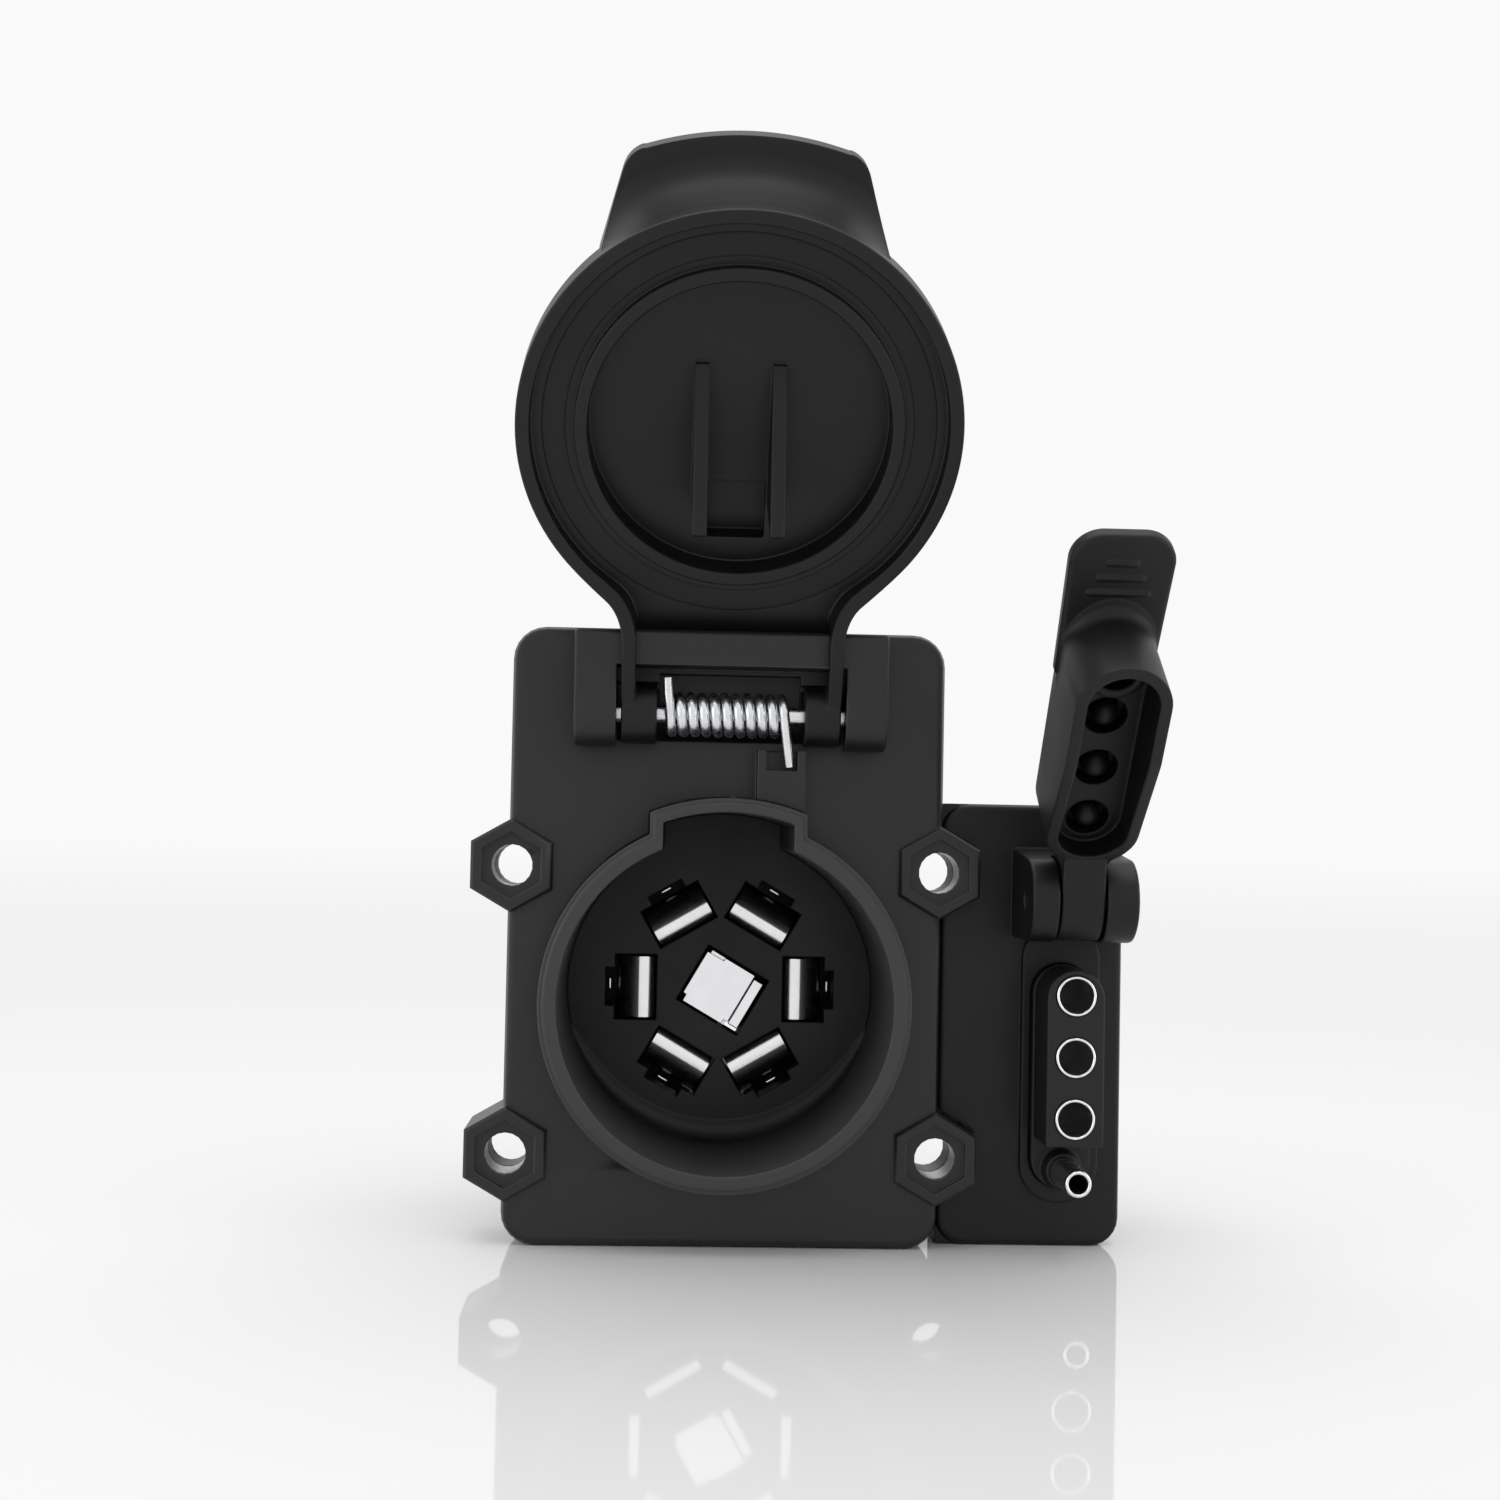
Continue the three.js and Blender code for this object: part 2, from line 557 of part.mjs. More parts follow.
function capCup() {
  const { back, floor, rim } = CAP
  const outer = alongZ(slot(0, 6.1, 7.4, 42.8), back, rim, 0.5, 6, 1)
  const inner = alongZ(slot(0, 4.6, 9, 41.3), floor, rim + 1, 0, 6)
  // the rim falls away towards the hinge
  const fall = alongX(polygon([[0, 0.2], [8, 1.4], [28, rim], [28, rim + 4], [0, rim + 4]]), -10, 10)
  let cup = cut(outer, fall, inner)
  for (const v of CAP_ROWS) {
    cup = cut(cup, rod('z', 2.9, floor - 4, floor + 2, 0, v, 18))
    cup = union(cup, turnedUp([[0, back + 1], [1.9, back + 1], [1.9, floor - 0.7], [1.3, floor + 0.3],
      [0, floor + 0.7]], v, 14))
  }
  const ring = turnedUp([[2.6, floor - 2], [4, floor - 2], [4, floor + 2.4], [2.6, floor + 2.4],
    [2.6, floor - 2]], CAP_PIN_ROW, 18)
  return union(cut(cup, rod('z', 2.6, floor - 4.2, floor + 1, 0, CAP_PIN_ROW, 18)), ring)
}

// grip paddle with three short bars, the lowest the longest
function capPaddle() {
  const { back } = CAP
  const s = new THREE.Shape()
  s.moveTo(-6.5, 33)
  s.lineTo(-6.8, 49.4)
  s.absarc(-2.6, 50, 4.2, PI, PI / 2, true)
  s.absarc(2.6, 50, 4.2, PI / 2, 0, true)
  s.lineTo(6.5, 33)
  s.closePath()
  const sheet = alongZ(s, back, back + 2.4, 0.5, 4, 1)
  const bars = [[42.3, 3.7], [45.3, 2.7], [48.2, 1.7]].map(([v, half]) => solid(
    new THREE.CapsuleGeometry(0.4, 2 * half, 2, 8).rotateZ(PI / 2).translate(0, v, back + 2.4)))
  return union(sheet, ...bars)
}

function capTongue() {
  const s = new THREE.Shape()
  s.moveTo(9.6, -7.4)
  s.lineTo(4, -5.2)
  s.absarc(0, 0, 5.5, -PI / 3, PI / 3.2, true)
  s.lineTo(9.6, 0.9)
  s.closePath()
  const flare = polygon([[6.9, -6.4], [10, -7.4], [10, 1], [7.6, 0.4]])
  // the cup's hollow stays clear for the flat connector's block
  return cut(union(alongX(s, -2.95, 2.95, 0, 12), alongX(flare, -5, 5)),
    alongZ(slot(0, 4.6, 9, 41.3), CAP.floor, CAP.rim, 0, 6))
}

const capBody = () => cut(union(capCup(), capPaddle(), capTongue()), rod('x', 1.45, -8, 8, 0, 0, 20))

// ---------- rear pieces ----------

function screw(x, z, y, length, r = 1) {
  const profile = [
    [0, y + 1.7], [1.9, y + 1.5], [2.4, y + 0.9], [2.4, y], [r, y], [r, y - length], [0, y - length - 0.8],
  ]
  const body = turned(profile, x, z, 10)
  return cut(body, box(x - 0.3, x + 0.3, y + 0.9, y + 3, z - 1.5, z + 1.5),
    box(x - 1.5, x + 1.5, y + 0.9, y + 3, z - 0.3, z + 0.3))
}

function rearGasket() {
  const { halfWidth: h, low, high, corner } = REAR
  const y = HOUSING.depth
  const outer = alongY(roundedRect(-h, h, low, high, corner), y + 0.1, y + 1.1, 0, 3)
  return cut(outer, alongY(roundedRect(-h + 2.2, h - 2.2, low + 2.2, high - 2.2, 2.4), y - 1, y + 3, 0, 3))
}

const GLAND = { x: 0, z: 24 }
function rearCover() {
  const { halfWidth: h, low, high, corner } = REAR
  const y = HOUSING.depth + 1.2
  const plate = alongY(roundedRect(-h, h, low, high, corner), y, y + 2.8, 0.5, 2, 1)
  const collar = rod('y', 9.5, y + 2, y + 6, GLAND.x, GLAND.z, 36)
  const body = cut(union(plate, collar), rod('y', 6.3, y - 2, y + 9, GLAND.x, GLAND.z, 32))
  return cut(body, ...SCREWS.map(([x, z]) => rod('y', 1.3, y - 2, y + 5, x, z, 12)))
}

// the inlet for the cable: threaded body, nut and sealing mouth
function cableGland() {
  const y = HOUSING.depth + 1.2
  const nut = alongY(ngon(6, 16, GLAND.x, GLAND.z), y + 6.2, y + 11.5, 0.4, 1, 1)
  const tube = rod('y', 6.15, y - 0.8, y + 7, GLAND.x, GLAND.z, 32)
  const nose = rod('y', 7, y + 11, y + 15, GLAND.x, GLAND.z, 32, 5.8)
  return cut(union(nut, tube, nose), rod('y', 4.2, y - 2, y + 18, GLAND.x, GLAND.z, 28))
}

function flatRearCover() {
  const { left, right, low, high } = FLAT_REAR
  const y = FLAT.depth + 0.2
  const x = (left + right) / 2 + 2
  const plate = alongY(roundedRect(left, right, low, high, 3), y, y + 2.4, 0.5, 2, 1)
  const spout = rod('y', 5, y + 1, y + 9, x, 30, 28, 4.2)
  return cut(union(plate, spout), rod('y', 3, y - 2, y + 12, x, 30, 24),
    ...FLAT_SCREWS.map(([sx, z]) => rod('y', 1.3, y - 2, y + 5, sx, z, 12)))
}

// ---------- the assembly ----------

add('main_housing', mainHousing(), 'housing')
bossPlaces.forEach(([x, z], i) => add(`mount_sleeve_${i + 1}`, sleeve(x, z), 'zinc'))
add('socket_barrel', socketBarrel(), 'insert')
add('contact_carrier', contactCarrier(), 'insert')
BLADES.forEach((angle, i) => add(`blade_contact_${i + 1}`, bladeContact(), 'contact', aroundSocket(angle)))
add('centre_contact', centreContact(), 'contact', aroundSocket(SEAT_TURN))
add('lid', lidBody(), 'housing', lidPlace)
add('lid_seal', lidSeal(), 'rubber', lidPlace)
add('lid_hinge_pin', rod('x', 1.25, -BLOCK.half + 0.6, BLOCK.half - 0.6, LID_AXIS.y, LID_AXIS.z, 20), 'steel')
add('lid_spring', lidSpring(), 'steel')
add('flat_housing', flatHousing(), 'housing')
add('flat_connector_body', flatConnectorBody(), 'insert')
TUBES.forEach((z, i) => add(`female_contact_${i + 1}`, femaleContact(z), 'contact'))
add('male_pin', malePin(), 'contact')
add('cap', capBody(), 'rubber', capPlace)
add('cap_hinge_pin', rod('x', 1.3, FLAT.x - 6.6, FLAT.x + 6.6, CAP_AXIS.y, CAP_AXIS.z, 20), 'steel')
add('rear_gasket', rearGasket(), 'rubber')
add('rear_cover', rearCover(), 'housing')
SCREWS.forEach(([x, z], i) => add(`rear_screw_${i + 1}`, screw(x, z, HOUSING.depth + 4.1, 12), 'steel'))
add('cable_gland', cableGland(), 'insert')
add('flat_rear_cover', flatRearCover(), 'housing')
FLAT_SCREWS.forEach(([x, z], i) => add(`flat_screw_${i + 1}`, screw(x, z, FLAT.depth + 2.7, 9), 'steel'))

// origin to the middle of the bounding box's bottom face
const bounds = new THREE.Box3().setFromObject(group)
const middle = bounds.getCenter(new THREE.Vector3())
for (const mesh of group.children) mesh.geometry.translate(-middle.x, -middle.y, -bounds.min.z)

export default group
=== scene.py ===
# %% [markdown]
# # Trailer wiring connector
# A black moulded socket for the back of a vehicle: a round socket and a flat one in one body, each with
# a cover on a hinge. The CAD model is loaded first and is the frame: it says where every piece is and
# what each one moves with. The cells below give the frame its looks, one piece at a time.

# %% Load the frame
from math import asin, atan2, cos, degrees, pi, radians, sin, sqrt

import bmesh
import bpy
from mathutils import Matrix, Vector


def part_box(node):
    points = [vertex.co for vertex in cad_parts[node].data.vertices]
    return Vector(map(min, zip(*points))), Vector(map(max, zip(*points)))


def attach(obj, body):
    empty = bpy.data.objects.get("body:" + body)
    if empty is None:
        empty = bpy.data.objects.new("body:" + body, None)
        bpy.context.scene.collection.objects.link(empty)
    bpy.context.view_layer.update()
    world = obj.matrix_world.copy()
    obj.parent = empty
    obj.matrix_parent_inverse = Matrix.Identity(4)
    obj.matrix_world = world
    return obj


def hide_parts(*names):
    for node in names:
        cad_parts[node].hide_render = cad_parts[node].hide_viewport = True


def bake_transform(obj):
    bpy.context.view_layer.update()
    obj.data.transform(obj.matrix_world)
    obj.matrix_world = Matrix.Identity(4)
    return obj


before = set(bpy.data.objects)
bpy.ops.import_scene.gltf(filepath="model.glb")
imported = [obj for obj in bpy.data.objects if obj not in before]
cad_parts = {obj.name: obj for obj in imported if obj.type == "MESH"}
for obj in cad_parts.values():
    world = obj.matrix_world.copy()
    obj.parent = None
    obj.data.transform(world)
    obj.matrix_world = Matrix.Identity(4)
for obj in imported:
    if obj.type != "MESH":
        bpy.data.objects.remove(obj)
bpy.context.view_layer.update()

# %% [markdown]
# ## Places
# The pieces are drawn in millimetres with the faceplate's front as the plane y = 0, the round socket's
# middle at x = 0 and the floor at z = 0. One matrix, found from the frame's own boxes, takes that drawing
# to the frame's metres. The lid and the cap are drawn flat on their own hinge lines, and each has a matrix
# that leans it forward, because a leaning piece is hard to draw and a flat one is easy.

# %% Places
MM = 0.001
HINGE_FRONT = 8.0  # the hinge block stands this far in front of the faceplate
ring_low, ring_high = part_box("socket_barrel")
main_low, main_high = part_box("main_housing")
PART = Matrix.Translation(((ring_low.x + ring_high.x) / 2, main_low.y + HINGE_FRONT * MM, 0))
PART = PART @ Matrix.Scale(MM, 4)

LID_HINGE = Vector((0, -3.3, 74.2))
CAP_HINGE = Vector((48.1, -6.5, 49.6))
LID_LEAN, CAP_LEAN = 30.5, 38.5  # degrees forward from upright
LID = PART @ Matrix.Translation(LID_HINGE) @ Matrix.Rotation(radians(90 + LID_LEAN), 4, "X")
CAP = PART @ Matrix.Translation(CAP_HINGE) @ Matrix.Rotation(radians(90 + CAP_LEAN), 4, "X")
print("drawing's origin in mm:", [round(c / MM, 2) for c in PART.translation])

# %% [markdown]
# ## Materials
# A material is a small graph of nodes. The black ones share one recipe, so one function makes them all from
# a few numbers, and another makes the bright metals. Some black ones are darker or paler copies: painted
# shade for the lid, the flat shell and the socket's floor, painted light for the socket ring. Colours are
# given as sRGB hex, as a colour chart would, and turned to linear light, which is what the renderer adds up.


# %% Colour and nodes
def linear(hex_colour):
    channels = [int(hex_colour[k:k + 2], 16) / 255 for k in (1, 3, 5)]
    return [c / 12.92 if c <= 0.04045 else ((c + 0.055) / 1.055) ** 2.4 for c in channels] + [1]


def add_node(tree, kind, settings=None, inputs=None):
    """A node with its settings; an input is a number, a colour, or another node's output."""
    made = tree.nodes.new(kind)
    for name, value in (settings or {}).items():
        setattr(made, name, value)
    for name, value in (inputs or {}).items():
        if isinstance(value, bpy.types.NodeSocket):
            tree.links.new(value, made.inputs[name])
        else:
            made.inputs[name].default_value = value
    return made


# %% [markdown]
# ** Black plastic.** The mouldings are black nylon with a fine spark-eroded grain. The grain breaks every
# highlight into a soft sheen. Real grain of this kind is about 0.1 mm, too fine to show from here, so it
# is drawn at 0.35 mm. Every edge is painted a paler colour in patches: partly wear, partly a painted
# highlight for the bright line a rounded edge catches. The Bevel node feels for edges, and the difference
# between its normal and the true one says how near an edge is.


# %% Black plastics and rubber
def black_moulding(name, colour, highlight_and_wear_colour, rough, grain_mm, grain_depth, ior, edge_mm=0.35):
    material = bpy.data.materials.new(name)
    material.use_nodes = True
    tree = material.node_tree
    shader = tree.nodes["Principled BSDF"]
    place = add_node(tree, "ShaderNodeTexCoord").outputs["Object"]
    grain = add_node(tree, "ShaderNodeTexNoise", inputs={
        "Vector": place, "Scale": 1 / (grain_mm * MM), "Detail": 3.0, "Roughness": 0.6}).outputs["Fac"]
    flow = add_node(tree, "ShaderNodeTexNoise", inputs={
        "Vector": place, "Scale": 1 / (22 * MM), "Detail": 4.0, "Roughness": 0.55}).outputs["Fac"]
    true = add_node(tree, "ShaderNodeNewGeometry").outputs["Normal"]
    rounded = add_node(tree, "ShaderNodeBevel", {"samples": 6}, {"Radius": edge_mm * MM}).outputs["Normal"]
    near = add_node(tree, "ShaderNodeVectorMath", {"operation": "DOT_PRODUCT"}, {0: true, 1: rounded})
    edge = add_node(tree, "ShaderNodeMapRange", inputs={
        "Value": near.outputs["Value"], "From Min": 1.0, "From Max": 0.82}).outputs["Result"]
    # painted highlight, partly wear: edges are mixed towards the paler colour, in patches
    edge_highlight_and_wear = add_node(tree, "ShaderNodeMath", {"operation": "MULTIPLY"}, {0: edge, 1: flow})
    base = add_node(tree, "ShaderNodeMix", {"data_type": "RGBA"}, {
        "Factor": edge_highlight_and_wear.outputs[0], "A": linear(colour), "B": linear(highlight_and_wear_colour)})
    tree.links.new(base.outputs["Result"], shader.inputs["Base Color"])
    gloss = add_node(tree, "ShaderNodeMapRange", inputs={
        "Value": flow, "From Min": 0.3, "From Max": 0.7, "To Min": rough - 0.05, "To Max": rough + 0.05})
    tree.links.new(gloss.outputs["Result"], shader.inputs["Roughness"])
    bump = add_node(tree, "ShaderNodeBump", inputs={
        "Height": grain, "Distance": grain_depth * MM, "Strength": 0.5, "Normal": rounded})
    tree.links.new(bump.outputs["Normal"], shader.inputs["Normal"])
    shader.inputs["IOR"].default_value = ior
    return material


# satin black nylon, spark-eroded mould: the faceplate, the lid and the covers
nylon = black_moulding("black_nylon_spark_eroded", "#161617", "#3c3c3e", 0.4, 0.35, 0.03, 1.46)
# painted shade: the same nylon made darker, for the lid and the flat shell, which lie in shade
shaded_nylon = black_moulding("black_nylon_painted_shade", "#0b0b0c", "#303032", 0.42, 0.35, 0.03, 1.38)
# painted light: the same nylon, coarser, painted paler for the socket ring, whose face catches more light
lit_ring_nylon = black_moulding("black_nylon_painted_light", "#2f2f30", "#4a4a4c", 0.5, 0.35, 0.03, 1.48)
# glass-filled insert from a finer tool, painted a deeper black as shade: the socket's floor and the flat
# connector's block
shaded_insert = black_moulding("black_insert_painted_shade", "#101011", "#2e2e30", 0.5, 0.3, 0.02, 1.43)
# dull moulded rubber: the soft cap, the seal and the gasket
rubber = black_moulding("black_rubber_moulded", "#0c0c0c", "#222222", 0.5, 0.4, 0.02, 1.38, 0.5)

# %% [markdown]
# **Bright metal.** The contacts are brass strip with a tin plate, which rolls bright but never like a
# mirror: long faint lines follow the rolling, about 0.2 mm apart. The spring and the pins are drawn wire,
# a little duller, and the bushes are zinc plated, duller again and slightly blue.


# %% Metals
def bright_metal(name, colour, dark, rough, line_mm, stretch):
    material = bpy.data.materials.new(name)
    material.use_nodes = True
    tree = material.node_tree
    shader = tree.nodes["Principled BSDF"]
    place = add_node(tree, "ShaderNodeTexCoord").outputs["Object"]
    drawn = add_node(tree, "ShaderNodeMapping", inputs={"Vector": place, "Scale": stretch}).outputs["Vector"]
    lines = add_node(tree, "ShaderNodeTexNoise", inputs={
        "Vector": drawn, "Scale": 1 / (line_mm * MM), "Detail": 2.0}).outputs["Fac"]
    clouds = add_node(tree, "ShaderNodeTexNoise", inputs={
        "Vector": place, "Scale": 1 / (3 * MM), "Detail": 3.0}).outputs["Fac"]
    tone = add_node(tree, "ShaderNodeMix", {"data_type": "RGBA"}, {
        "Factor": clouds, "A": linear(dark), "B": linear(colour)})
    tree.links.new(tone.outputs["Result"], shader.inputs["Base Color"])
    gloss = add_node(tree, "ShaderNodeMapRange", inputs={
        "Value": lines, "From Min": 0.3, "From Max": 0.7, "To Min": rough - 0.05, "To Max": rough + 0.07})
    tree.links.new(gloss.outputs["Result"], shader.inputs["Roughness"])
    bump = add_node(tree, "ShaderNodeBump", inputs={"Height": lines, "Distance": 0.004 * MM, "Strength": 0.3})
    tree.links.new(bump.outputs["Normal"], shader.inputs["Normal"])
    shader.inputs["Metallic"].default_value = 1.0
    return material


# tin-plated brass strip, rolled: shows broad bright streaks
tin = bright_metal("tin_plate_rolled", "#f4f4f5", "#e2e3e6", 0.2, 0.2, (1, 0.15, 1))
# zinc-plated spring wire and pins, drawn: streaks along the wire
wire_steel = bright_metal("spring_steel_drawn", "#eeeef0", "#cfd1d5", 0.26, 0.15, (0.2, 1, 1))
# pale zinc-plated bushes
zinc = bright_metal("zinc_plated_bush", "#d7d9dd", "#bfc2c7", 0.4, 0.3, (1, 0.3, 1))
print("materials:", [m.name for m in (nylon, shaded_nylon, lit_ring_nylon, shaded_insert, rubber, tin, wire_steel, zinc)])

# %% [markdown]
# ## Shapes
# Almost every piece here is either a flat outline given a thickness or a profile turned about a line. So
# there is one helper for each, and both end in bmesh operators: extrude and bevel for the first, spin for
# the second. A moulded edge is never sharp, so every outline gets its rims bevelled.


# %% Outlines
def arc(x, y, r, start, end, steps=24):
    """Points of an arc, in degrees, its two ends included."""
    turns = [radians(start + (end - start) * k / steps) for k in range(steps + 1)]
    return [(x + r * cos(t), y + r * sin(t)) for t in turns]


def outline(*parts):
    """One closed outline out of several runs of points, with the doubled ones left out."""
    points = []
    for x, y in (p for part in parts for p in part):
        if not points or abs(points[-1][0] - x) + abs(points[-1][1] - y) > 1e-4:
            points.append((x, y))
    if abs(points[0][0] - points[-1][0]) + abs(points[0][1] - points[-1][1]) < 1e-4:
        points.pop()
    return points


def rounded_box(x0, x1, y0, y1, r, steps=8):
    return outline(arc(x1 - r, y0 + r, r, -90, 0, steps), arc(x1 - r, y1 - r, r, 0, 90, steps),
                   arc(x0 + r, y1 - r, r, 90, 180, steps), arc(x0 + r, y0 + r, r, 180, 270, steps))


def bend(start, pull, push, end, steps=12):
    """A Bezier curve between two points."""
    def mix(t, k):
        u = 1 - t
        return u**3 * start[k] + 3 * u * u * t * pull[k] + 3 * u * t * t * push[k] + t**3 * end[k]
    return [(mix(s / steps, 0), mix(s / steps, 1)) for s in range(steps + 1)]


# %% Outlines to solids
SIT = {"x": lambda a, b, c: (c, a, b), "y": lambda a, b, c: (a, c, b), "z": lambda a, b, c: (a, b, c)}


def bevel(bm, width, sharper=30, rounds=3):
    """Rounds every edge that is sharper than so many degrees."""
    edges = [e for e in bm.edges if e.is_manifold and e.calc_face_angle() > radians(sharper)]
    bmesh.ops.bevel(bm, geom=edges, offset=width, segments=rounds, profile=0.5, affect="EDGES",
                    clamp_overlap=True, material=-1)
    return bm


def slab(way, shape, low, high, edge=0.0, holes=(), rounds=3):
    """An outline extruded along x, y or z from low to high, with its rims rounded."""
    bm, sit, rims = bmesh.new(), SIT[way], []
    for loop in (shape, *holes):
        corners = [bm.verts.new(sit(a, b, low)) for a, b in loop]
        rims += [bm.edges.new((corners[k - 1], corners[k])) for k in range(len(corners))]
    if holes:
        bmesh.ops.triangle_fill(bm, use_beauty=True, use_dissolve=False, edges=rims)
    else:
        bmesh.ops.contextual_create(bm, geom=rims)
    grown = bmesh.ops.extrude_face_region(bm, geom=bm.faces[:], use_keep_orig=True)["geom"]
    tops = [v for v in grown if isinstance(v, bmesh.types.BMVert)]
    bmesh.ops.translate(bm, verts=tops, vec=Vector(sit(0, 0, high - low)))
    bmesh.ops.recalc_face_normals(bm, faces=bm.faces[:])
    return bevel(bm, edge, 40, rounds) if edge else bm


def turned(way, profile, x=0.0, y=0.0, steps=96):
    """A profile of (radius, depth) spun round a line along x, y or z that passes through (x, y)."""
    bm = bmesh.new()
    sit = {"y": lambda r, d: (x + r, d, y), "z": lambda r, d: (x + r, y, d),
           "x": lambda r, d: (d, x + r, y)}[way]
    centre = {"y": (x, 0, y), "z": (x, y, 0), "x": (0, x, y)}[way]
    axis = {"y": (0, 1, 0), "z": (0, 0, 1), "x": (1, 0, 0)}[way]
    ring = [bm.verts.new(sit(r, d)) for r, d in profile]
    edges = [bm.edges.new(pair) for pair in zip(ring, ring[1:])]
    if profile[0][0] > 1e-6:
        edges.append(bm.edges.new((ring[-1], ring[0])))
    bmesh.ops.spin(bm, geom=ring + edges, cent=centre, axis=axis, dvec=(0, 0, 0), angle=2 * pi,
                   steps=steps, use_merge=True, use_duplicate=False)
    bmesh.ops.remove_doubles(bm, verts=bm.verts[:], dist=1e-4)
    bmesh.ops.recalc_face_normals(bm, faces=bm.faces[:])
    return bm


def together(*shapes):
    """Several closed shapes as one mesh."""
    whole = bmesh.new()
    for bm in shapes:
        mesh = bpy.data.meshes.new("scratch")
        bm.to_mesh(mesh)
        bm.free()
        whole.from_mesh(mesh)
        bpy.data.meshes.remove(mesh)
    return whole


# %% [markdown]
# A finished shape becomes an object here. Its faces are smooth except across real edges, and a Weighted
# Normal modifier keeps the big flat faces flat, so that only the bevels catch the light.


# %% Finish a piece
def finish(name, bm, body, material, stands_for=(), place=PART, sharp=35):
    bm.transform(place)
    for face in bm.faces:
        face.smooth = True
    for edge in bm.edges:
        edge.smooth = not (edge.is_manifold and edge.calc_face_angle() > radians(sharp))
    mesh = bpy.data.meshes.new(name)
    bm.to_mesh(mesh)
    bm.free()
    mesh.materials.append(material)
    piece = bpy.data.objects.new(name, mesh)
    bpy.context.collection.objects.link(piece)
    even = piece.modifiers.new("flat faces stay flat", "WEIGHTED_NORMAL")
    even.keep_sharp, even.weight = True, 50
    if body:
        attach(piece, body)
    if stands_for:
        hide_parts(*stands_for)
    print(f"{name}: {len(mesh.polygons)} faces")
    return piece


def softened(node, width, sharper=24, rounds=2):
    """A merged copy of a CAD node, in the drawing's millimetres, with its edges rounded."""
    bm = bmesh.new()
    bm.from_mesh(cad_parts[node].data)
    bm.transform(PART.inverted())
    bmesh.ops.remove_doubles(bm, verts=bm.verts[:], dist=0.002)
    bmesh.ops.dissolve_limit(bm, angle_limit=radians(0.6), use_dissolve_boundaries=False,
                             verts=bm.verts[:], edges=bm.edges[:], delimit={"NORMAL"})
    return bevel(bm, width, sharper, rounds)


# %% [markdown]
# ## Main housing
# One moulding: a faceplate with rounded edges, the hinge block with its trough, the seat of the spring's
# leg and four bosses with hexagonal rims. The CAD node has all of this in the right place, so a merged copy
# of it is enough, with every sharp edge rounded as a mould's would be.

# %% Main housing
HOUSING, LID_BODY, CAP_BODY = "housing", "lid_body", "cap_body"
finish("housing_moulding", softened("main_housing", 0.22), HOUSING, nylon, ["main_housing"])

# %% [markdown]
# ## Round socket
# The socket is a ring that stands out of the faceplate, with a slot at the top for the plug's key. Its
# outline is two arcs, so it is drawn once as a function and used for every edge: the raised lip and the
# small ledge round it, each with the bore cut through.

# %% Socket ring
SOCKET_Z, BORE, RIM = 34.3, 23.0, 25.6
FRONT, FLOOR = -8.0, 22.5  # depths of the ring's front and the socket's floor
KEY_RIM, KEY_RIM_HALF = 28.4, 10.8  # radius and half width of the key slot's outline
KEY_BORE, KEY_BORE_HALF = 26.4, 8.95  # and of the slot itself
LEDGE_STEP, LEDGE_SIDE = 0.7, 0.55  # the lip stands inside the ledge by these
RING_BACK, WALL_BACK = 25, 31


def keyed(r, key_r, key_half, steps=132):
    meets = degrees(atan2(sqrt(r * r - key_half**2), key_half))
    corner = degrees(atan2(sqrt(key_r**2 - key_half**2), key_half))
    return outline(arc(0, SOCKET_Z, key_r, corner, 180 - corner, 40),
                   arc(0, SOCKET_Z, r, 180 - meets, 360 + meets, steps))


lip = slab("y", keyed(RIM - LEDGE_STEP, KEY_RIM - LEDGE_SIDE, KEY_RIM_HALF - LEDGE_SIDE), FRONT, RING_BACK,
           0.22, [keyed(BORE, KEY_BORE, KEY_BORE_HALF)])
ledge = slab("y", keyed(RIM, KEY_RIM, KEY_RIM_HALF), FRONT + 0.6, WALL_BACK, 0.18,
             [keyed(BORE + 0.5, KEY_BORE + 0.5, KEY_BORE_HALF + 0.5)])
finish("socket_ring", together(lip, ledge), HOUSING, lit_ring_nylon, ["socket_barrel"])

# %% [markdown]
# ## Socket floor
# The floor has six windows for the spring blades, each with a small relief on its outer side, and a square
# seat in the middle. They are holes in the outline, so no boolean is needed. A cove rises from the floor to
# the lower half of the wall and dies out at both ends: it is a row of hollow profiles, each smaller towards
# the ends, bridged into one solid.

# %% Socket floor
BLADE_ANGLES = [60 * k for k in range(6)]
WINDOW_AT, WINDOW_DEEP, WINDOW_WIDE = 12.7, 6.4, 9.9  # from the middle, across and along
RELIEF_OUT, RELIEF_HALF = 1.4, 2.9  # the relief beyond each window
SEAT_TURN = -30
FLOOR_BACK = 29


def around_socket(points, angle):
    """Points of (outwards, along), turned to an angle round the socket."""
    c, s = cos(radians(angle)), sin(radians(angle))
    return [(p * c - q * s, SOCKET_Z + p * s + q * c) for p, q in points]


near, far, half = WINDOW_AT - WINDOW_DEEP / 2, WINDOW_AT + WINDOW_DEEP / 2, WINDOW_WIDE / 2
relief = far + RELIEF_OUT
window = [(near, -half), (far, -half), (far, -RELIEF_HALF), (relief, -RELIEF_HALF), (relief, RELIEF_HALF),
          (far, RELIEF_HALF), (far, half), (near, half)]
seat = [(-4.8, -4.8), (5.9, -4.8), (5.9, 4.8), (-4.8, 4.8)]
plate = slab("y", keyed(BORE - 0.05, KEY_BORE - 0.05, KEY_BORE_HALF - 0.05), FLOOR, FLOOR_BACK, 0.0,
             [around_socket(window, a) for a in BLADE_ANGLES] + [around_socket(seat, SEAT_TURN)])
COVE, COVE_ENDS = 3.6, (195, 345)  # how far it reaches, and the angles round the wall it runs between
cove = bmesh.new()
hollow_line = [(COVE * (cos(radians(t)) - 1), COVE * (sin(radians(t)) - 1)) for t in range(0, 91, 9)]
profile = [(0, 2), (0, -COVE)] + hollow_line + [(-COVE, 2)]
COVE_STEPS, WALL_R = 60, BORE + 0.4
rings = []
